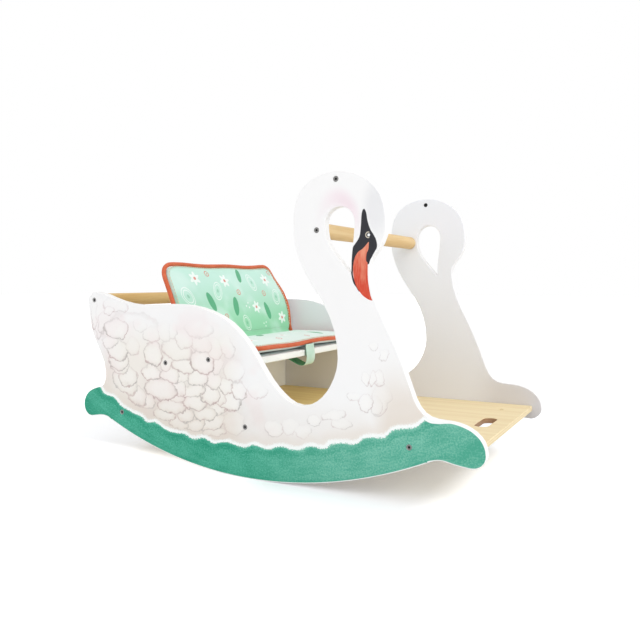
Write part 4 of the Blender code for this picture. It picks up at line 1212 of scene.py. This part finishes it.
@dataclass
class Cushion:
    """The folded cushion: two padded halves, the cover across the fold, piping and stitches."""

    seam_z: float = 0.2188
    fold_x: float = -0.15895
    lean: float = math.radians(21.0)
    seat_front: float = -0.0055
    fold_gap: float = 0.003
    seat_width: float = 0.366
    back_width: float = 0.353
    back_length: float = 0.154
    half_thickness: float = 0.011
    piping_radius: float = 0.0041
    curl: float = 0.017
    droop: float = 0.0065
    ripple: float = 0.0011
    back_shift: float = -0.0035
    stitch_inset: float = 0.0026
    stitch_length: float = 0.0032
    stitch_step: float = 0.0060
    cover_end: float = 0.012
    cover_length: float = 0.024
    cover_thickness: float = 0.0012

    def __post_init__(self) -> None:
        """Work out the fold, the leaning half's directions and both halves."""
        self.fold = Vector((self.fold_x, 0, self.seam_z))
        self.up = Vector((-math.sin(self.lean), 0, math.cos(self.lean)))
        self.out = Vector((math.cos(self.lean), 0, math.sin(self.lean)))
        seat_length = self.seat_front - self.fold_x - self.fold_gap
        seat_plan = PadShape(seat_length, self.seat_width, 0.0082, 0.0125, fall_below=0.0035)
        back_plan = PadShape(self.back_length, self.back_width, 0.0112, 0.0092, corner=0.020)
        self.seat = Half(seat_plan, self.on_seat, self.seat_plan_of)
        self.back = Half(back_plan, self.on_back, self.back_plan_of)
        self.seat_middle = (self.seat_front + self.fold_x + self.fold_gap) / 2
        self.back_middle = self.fold_gap + self.back_length / 2

    def _seat_wave(self, u: float, v: float) -> float:
        """Let the seat half's front edge rise and fall a little."""
        front = max(0.0, u / (self.seat.plan.length / 2))
        return front**2 * self.ripple * wave(v, 0.190, 0.6)

    def on_seat(self, u: float, v: float, height: float) -> Vector:
        """Place a point of the seat half: u forward, v to the left, height over its seam."""
        return Vector((self.seat_middle + u, v, self.seam_z + self._seat_wave(u, v) + height))

    def on_back(self, u: float, v: float, height: float) -> Vector:
        """Place a point of the leaning half.

        Args:
            u: How far up the back it is.
            v: How far to the left.
            height: How far out of its face.

        Returns:
            The point.
        """
        climb = self.back_middle + u
        share = max(0.0, min(1.0, climb / (self.fold_gap + self.back_length)))
        bow = math.sin(math.pi * min(share * 1.12, 1.0)) ** 1.3
        left = max(0.0, v / (self.back_width / 2))
        right = max(0.0, -v / (self.back_width / 2))
        forward = self.curl * bow * left**4 - self.droop * min(1.0, share * 2) * right**4
        ripple = self.ripple * wave(v, 0.155, 1.1) * share**2
        sideways = Vector((0, v + self.back_shift, 0))
        return self.fold + self.up * (climb + ripple) + self.out * (height + forward) + sideways

    def seat_plan_of(self, point: Vector) -> Place:
        """Turn a point into the seat half's plan coordinates."""
        u, v = point.x - self.seat_middle, point.y
        return u, v, point.z - self.seam_z - self._seat_wave(u, v)

    def back_plan_of(self, point: Vector) -> Place:
        """Turn a point into the leaning half's plan coordinates."""
        away = point - self.fold
        u, v = away.dot(self.up) - self.back_middle, point.y - self.back_shift
        bent = self.on_back(u, v, 0.0) - self.fold
        return u, v, away.dot(self.out) - bent.dot(self.out)

    def pad(self, name: str, half: Half, material: Material) -> Object:
        """Make one padded half: a shell, blown up as cloth and puckered along its seam.

        Args:
            name: The piece's name.
            half: The half.
            material: Its finish.

        Returns:
            The finished pad.
        """
        piece = new_object(name, half.shell, material)
        half.blow_up(piece)
        half.pucker(piece.data)
        for vertex in piece.data.vertices:  # The leaning half lies flat against its board
            sunk = (vertex.co - self.fold).dot(self.out) + self.half_thickness
            vertex.co -= self.out * min(sunk, 0.0)
        smooth = piece.modifiers.new("finer", "SUBSURF")
        smooth.levels = smooth.render_levels = 1
        return piece

    def _outside(self, plan: PadShape, turn: int) -> List[Vector]:
        """Walk round a half's free sides, a piping's radius outside its seam.

        Args:
            plan: The half's plan.
            turn: 1 to walk to the left, and -1 to walk to the right.

        Returns:
            The plan's points (u, v).
        """
        free = [point for point in plan.seam(self.piping_radius) if point.x > plan.fold_corner - plan.length / 2]
        return sorted(free, key=lambda point: turn * math.atan2(point.y, point.x + 0.06))

    def piping(self, material: Material) -> Object:
        """Make the corded piping, one closed and slightly uneven tube round both halves.

        Args:
            material: Its finish.

        Returns:
            The piping.
        """
        seat, back = self._outside(self.seat.plan, 1), self._outside(self.back.plan, -1)
        side = (seat[-1].y + back[0].y + self.back_shift) / 2
        corner_u = -self.seat.plan.length / 2 - 0.6 * self.fold_gap
        left, right = (self.on_seat(corner_u, v, -0.0005) for v in (side, self.back_shift - side))
        path = [self.on_seat(p.x, p.y, 0.0) for p in seat] + [left]
        path += [self.on_back(p.x, p.y, 0.0) for p in back] + [right]
        path = evenly(softened(evenly(path, 0.003, True), 2), 0.0045, True)
        uneven = [p + 0.00025 * noise.noise_vector(p * 60) for p in path]
        return new_object("cushion_piping_cord", lambda bm: tube(bm, uneven, self.piping_radius, 12, True), material)

    def _stitches(self, bm: BMesh) -> None:
        """Sew a row of short rounded bars inside the piping, on the faces that show."""
        for half in (self.seat, self.back):
            plan = half.plan
            route = evenly([Vector(spot) for spot in plan.ring(self.stitch_inset)], self.stitch_step, True)
            height = plan.thickness(self.stitch_inset, True) + 0.0006
            for here, ahead in zip(route, route[1:] + route[:1]):
                if here.x < -plan.length / 2 + 0.012:
                    continue
                along = (ahead - here).normalized() * self.stitch_length
                spots = ((here, 0.0), (here + along / 2, 0.0003), (here + along, 0.0))
                tube(bm, [half.place(p.x, p.y, height + lift) for p, lift in spots], 0.00070, 5, False)

    def _fold_cover(self, bm: BMesh) -> None:
        """Bend the strip of cover through the fold, with two faces and a rim."""
        steps_across, steps_round = 60, 10
        half = self.seat_width / 2 - self.cover_end
        start = Vector((self.fold_gap + 0.010, 0, 0.0052))
        end = self.up * (self.fold_gap + 0.010) + self.out * 0.0085
        knee = Vector((0.0022, 0, 0.0010))
        outward = (self.out + Vector((0, 0, 1))).normalized()

        def row(t: float, drop: float) -> List[BMVert]:
            """Add the points across the strip, at a share of its way and below its upper face."""
            bend = start.lerp(knee, t).lerp(knee.lerp(end, t), t)
            places = [(half - 0.010 * t) * (2 * k / steps_across - 1) for k in range(steps_across + 1)]
            creases = [0.0004 * math.sin(y * 210) * math.sin(math.pi * t) for y in places]
            return [bm.verts.new(self.fold + bend + outward * (crease - drop) + Vector((0, y, 0)))
                    for y, crease in zip(places, creases)]

        rims = []
        for drop in (0.0, self.cover_thickness):
            grid = [row(i / steps_round, drop) for i in range(steps_round + 1)]
            for first, second in zip(grid, grid[1:]):
                for k in range(steps_across):
                    bm.faces.new((first[k], first[k + 1], second[k + 1], second[k]))
            left, right = [line[-1] for line in grid[1:]], [line[0] for line in grid[-2:0:-1]]
            rims.append(grid[0] + left + grid[-1][-2::-1] + right)
        skin(bm, rims, caps=())

    def make(self, finishes: "Finishes") -> None:
        """Build the whole cushion and put it in place of its stand-ins."""
        seat = self.pad("seat_pad", self.seat, finishes.seat_cotton)
        back = self.pad("back_pad", self.back, finishes.back_cotton)
        piping = self.piping(finishes.piping)
        stitches = new_object("cushion_stitches", self._stitches, finishes.thread)
        cover = new_object("cushion_fold_cover", self._fold_cover, finishes.back_cotton)
        install(seat, "seat_cushion")
        install(back, "back_cushion")
        install(piping, "cushion_piping")
        install(cover, "cushion_fold")
        install(stitches)


# The strap below the seat


@dataclass
class Strap:
    """Webbing from the cushion's front seam, in a loop below the seat board to a patch of hook tape."""

    width: float = 0.032
    shift: float = -0.016
    thickness: float = 0.0016
    board_front: float = -0.001
    seam_z: float = 0.2188
    under_z: float = 0.1927
    patch: float = 0.0012
    clearance: float = 0.0003
    drop: float = 0.0180
    grip_start: float = 0.052
    grip_length: float = 0.040
    curve_steps: int = 10
    across: int = 14

    def centre_line(self) -> List[Vector]:
        """Give the line that the webbing follows, seen from the side."""
        front = self.board_front + 0.0035
        grip_z = self.under_z - self.patch - self.clearance - self.thickness / 2
        grip_x = self.board_front - self.grip_start
        low = self.under_z - self.drop
        knots = [
            (Vector((front - 0.001, 0, self.seam_z - 0.0038)), -90.0),
            (Vector((front + 0.001, 0, self.under_z)), -88.0),
            (Vector((front - 0.010, 0, low)), -180.0),
            (Vector((grip_x + 0.020, 0, (low + grip_z) / 2 + 0.001)), -202.0),
            (Vector((grip_x, 0, grip_z)), -180.0),
            (Vector((grip_x - self.grip_length, 0, grip_z)), -180.0),
        ]
        points = [knots[0][0]]
        for (start, first), (end, second) in zip(knots, knots[1:]):
            reach = (end - start).length / 3 / math.cos(math.radians((second - first) / 4)) ** 2
            leave, arrive = (
                Vector((math.cos(math.radians(angle)), 0, math.sin(math.radians(angle)))) * reach
                for angle in (first, second)
            )
            for i in range(1, self.curve_steps + 1):
                t = i / self.curve_steps
                s = 1 - t
                points.append(s**3 * start + 3 * s * s * t * (start + leave)
                              + 3 * s * t * t * (end - arrive) + t**3 * end)
        return evenly(points, 0.0022, False)

    def _layer(self, line: List[Vector], inner: float, outer: float) -> Build:
        """Make one layer of the webbing, its edges thinner than its middle.

        Args:
            line: The strap's centre line.
            inner: How far the layer reaches towards the board, as a share of half the thickness.
            outer: The same for its other face.

        Returns:
            What fills its mesh.
        """

        def build(bm: BMesh) -> None:
            """Fill the layer's closed strip."""
            rings = []
            for i, point in enumerate(line):
                along = (line[min(i + 1, len(line) - 1)] - line[max(i - 1, 0)]).normalized()
                side = Vector((along.z, 0, -along.x))
                cup = 0.0006 * math.sin(math.pi * i / (len(line) - 1))
                ring = []
                for direction, reach in ((1, inner), (-1, outer)):
                    for k in range(self.across + 1):
                        share = direction * (2 * k / self.across - 1)
                        half = reach * self.thickness / 2 * (1 - 0.55 * abs(share) ** 8)
                        sideways = Vector((0, self.shift + share * self.width / 2, 0))
                        ring.append(bm.verts.new(point + side * (half - cup * share**2) + sideways))
                rings.append(ring)
            skin(bm, rings)

        return build

    def make(self, finishes: "Finishes") -> None:
        """Build the webbing and its loop-tape lining, in place of their stand-in."""
        line = self.centre_line()
        face = new_object("seat_strap_webbing", self._layer(line, -0.10, -1.0), finishes.webbing)
        lining = new_object("seat_strap_lining", self._layer(line, 1.0, 0.06), finishes.lining)
        install(face, "seat_strap")
        install(lining)


@dataclass
class HookPatch:
    """A rounded patch of hook tape stuck below the seat board, which the strap's end grips."""

    corner: float = 0.003
    rows: int = 14
    columns: int = 18
    nub: float = 0.00035
    border: float = 0.0015

    def make(self, finishes: "Finishes") -> None:
        """Build the patch in the box of its stand-in, with a field of small nubs below."""
        low, high = (Vector(end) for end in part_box("strap_patch"))
        middle = (low + high) / 2
        half = (high - low) / 2

        def build(bm: BMesh) -> None:
            """Fill the slab and its nubs, hooked side down."""
            outline = rounded_outline(half.x, half.y, (self.corner, self.corner), 5)
            rings = []
            for level, shrink in (
                (high.z, 0.0003), (high.z - 0.0003, 0.0), (low.z + 0.0006, 0.0), (low.z + 0.0003, 0.0004)
            ):
                scale = Vector((1 - shrink / half.x, 1 - shrink / half.y))
                spots = [(middle.x + p.x * scale.x, middle.y + p.y * scale.y, level) for p in outline]
                rings.append([bm.verts.new(spot) for spot in spots])
            skin(bm, rings)
            for i in range(self.columns):
                for k in range(self.rows):
                    across = (2 * (i + 0.5) / self.columns - 1) * (half.x - self.border)
                    along = (2 * (k + 0.5) / self.rows - 1) * (half.y - self.border)
                    spot = Vector((middle.x + across, middle.y + along, low.z + 0.0002))
                    bmesh.ops.create_icosphere(bm, subdivisions=1, radius=self.nub, matrix=Matrix.Translation(spot))

        piece = new_object("hook_tape_patch", build, finishes.tape)
        install(piece, "strap_patch")


# The finishes of this object


class Finishes:
    """Every finish of the object, made once."""

    def __init__(self, cushion: Cushion) -> None:
        """Mix them all, with the cushion's print along its own directions."""
        self.swan = SwanPrint().make()
        self.board = Paintwork("white_board", from_screen(248, 254, 254)).make()
        self.riser = Paintwork("white_riser", from_screen(252, 252, 246)).make()
        beech = from_screen(235, 207, 156), from_screen(210, 173, 114)
        self.bar = BareWood("beech_bar", *beech, Grain.ALONG_Y).make()
        # Painted shade: the rail takes a darker, more golden copy of the bar's beech, for the shade that it lies in
        shaded_beech = from_screen(232, 199, 136), from_screen(204, 160, 92)
        self.rail = BareWood("beech_rail", *shaded_beech, Grain.ALONG_Y).make()
        low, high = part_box("floor_board")
        birch = from_screen(242, 225, 183), from_screen(231, 208, 162)
        self.floor = Plywood("birch_plywood", *birch, Grain.ALONG_X, low[2], high[2] - low[2]).make()
        self.pin = BareWood("beech_pin", *beech, Grain.ALONG_X).make()
        mint = from_screen(152, 213, 174), from_screen(193, 230, 216)
        self.back_cotton = PrintedCotton(
            "back_cotton", cushion.up, cushion.fold, *mint, (0.02, 0.125), BACK_STAMPS).make()
        # The seat half's fade is the print's own, but its paler colours than the leaning half's are painted light
        # falling on its top
        pale = from_screen(204, 233, 218), from_screen(225, 238, 232)
        self.seat_cotton = PrintedCotton(
            "seat_cotton", Vector((1, 0, 0)), cushion.fold, *pale, (0.0, 0.10), SEAT_STAMPS).make()
        self.piping = Woven("orange_piping", from_screen(224, 120, 84), from_screen(198, 90, 56), 0.0016, 0.5).make()
        self.thread = Woven("cream_thread", from_screen(236, 226, 196), from_screen(206, 192, 150), 0.0008, 0.5).make()
        self.webbing = Woven("green_webbing", from_screen(216, 240, 229), from_screen(184, 223, 206), 0.0018).make()
        self.lining = Woven("loop_lining", from_screen(112, 188, 146), from_screen(72, 150, 108), 0.0012).make()
        self.tape = Woven("hook_tape", from_screen(214, 222, 214), from_screen(190, 200, 190), 0.0012).make()
        self.steel = Metal("dark_steel", from_screen(152, 151, 149), 0.30, 0.2112).make()
        self.zinc = Metal("zinc", from_screen(200, 198, 188), 0.32, -1.0).make()


def dress_rigid(finishes: Finishes) -> None:
    """Give every carried-over node its finish."""
    finish_of = {
        "right_side_panel": finishes.swan,
        "left_side_panel": finishes.swan,
        "handlebar": finishes.bar,
        "rear_rail": finishes.rail,
        "floor_board": finishes.floor,
        "seat_board": finishes.board,
        "seat_riser": finishes.riser,
        "backrest_board": finishes.board,
    }
    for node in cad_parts:
        finish = finish_of.get(node)
        if finish is None:
            finish = finishes.pin if "pin" in node else finishes.zinc if "insert" in node else finishes.steel
        wear(bpy.data.objects[node].data, finish)
        log.info("%s wears %s", node, finish.name)


# Studio


@dataclass(frozen=True)
class Studio:
    """The camera, the lamps, the floor and the backdrop."""

    eye: Place = (0.640, -1.1535, 0.335)
    yaw: float = math.radians(28.440)
    pitch: float = math.radians(3.236)
    lens: float = 38.07
    sensor: float = 36
    target: Place = (0, 0, 0.2)

    def make(self) -> None:
        """Set everything up."""
        self._camera()
        self._lamps()
        self._backdrop()
        self._floor()
        bpy.context.scene.view_settings.view_transform = "Standard"

    def _camera(self) -> None:
        """Stand the camera where the photographer stood."""
        right = Vector((math.cos(self.yaw), math.sin(self.yaw), 0))
        level = math.cos(self.pitch)
        ahead = Vector((-math.sin(self.yaw) * level, math.cos(self.yaw) * level, -math.sin(self.pitch)))
        data = bpy.data.cameras.new("photo_camera")
        data.lens = self.lens
        data.sensor_width = self.sensor
        data.sensor_fit = "HORIZONTAL"
        data.clip_start = 0.01
        camera = bpy.data.objects.new("photo_camera", data)
        turn = Matrix((right, right.cross(ahead), -ahead)).transposed().to_4x4()
        camera.matrix_world = Matrix.Translation(Vector(self.eye)) @ turn
        bpy.context.scene.collection.objects.link(camera)
        bpy.context.scene.camera = camera

    def _lamps(self) -> None:
        """Hang soft lamps above and to the sides."""
        for name, place, size, power in (
            ("key_softbox", Vector((1.3, -2.1, 1.9)), 1.8, 19),
            ("top_softbox", Vector((0.2, 0.3, 2.6)), 2.4, 16),
            ("front_softbox", Vector((2.5, -0.1, 0.7)), 1.6, 17),
            ("fill_softbox", Vector((-1.6, -1.9, 0.9)), 1.8, 7),
        ):
            data = bpy.data.lights.new(name, "AREA")
            data.shape = "SQUARE"
            data.size = size
            data.energy = power
            lamp = bpy.data.objects.new(name, data)
            lamp.location = place
            lamp.rotation_euler = (Vector(self.target) - place).to_track_quat("-Z", "Y").to_euler()
            bpy.context.scene.collection.objects.link(lamp)

    @staticmethod
    def _backdrop() -> None:
        """Surround everything with white, dimmer as a light than as the camera sees it."""
        world = bpy.context.scene.world = bpy.data.worlds.new("studio_world")
        world.use_nodes = True
        graph = Graph(world.node_tree)
        seen = graph.number("LightPath", {}, "Is Camera Ray")
        strength = graph.number("MapRange", {"Value": seen, "To Min": 0.67, "To Max": 1.0}, "Result")
        background = world.node_tree.nodes["Background"]
        graph.feed(background.inputs["Color"], (1.0, 1.0, 1.0))
        graph.feed(background.inputs["Strength"], strength)

    @staticmethod
    def _floor() -> None:
        """Lay a white floor that keeps the object's shadow, except where painted light clears it."""

        def build(bm: BMesh) -> None:
            """Fill one large square."""
            bmesh.ops.create_grid(bm, x_segments=1, y_segments=1, size=14)

        paint = Paint("studio_floor")
        seen = paint.number("LightPath", {}, "Is Camera Ray")
        x, y, _ = paint.place()
        # Far away the floor glows to the backdrop's white. Painted light: it also glows ahead of the front and in
        # front of the near panel's rear half, which clears the shadow there
        bright = (x * x + y * y).root().step(0.55, 1.25).higher(0.75 * x.step(0.275, 0.37))
        bright = bright.higher(0.75 * y.step(-0.125, -0.185) * x.step(0.06, -0.12))
        glow = paint.mix(seen * (0.24 + 0.76 * bright), (0.0, 0.0, 0.0), (1.0, 1.0, 1.0))
        lit = {"Specular_IOR_Level": 0.0, "Emission_Color": glow, "Emission_Strength": 1.0}
        material = paint.surface((0.83, 0.845, 0.87), 0.9, **lit)
        new_object("studio_floor", build, material)


def main() -> None:
    """Dress the rigid pieces, build the soft ones and set up the studio."""
    logging.basicConfig(level=logging.INFO, format="%(message)s")
    cushion = Cushion()
    finishes = Finishes(cushion)
    dress_rigid(finishes)
    cushion.make(finishes)
    Strap().make(finishes)
    HookPatch().make(finishes)
    Studio().make()


if __name__ == "__main__":
    main()
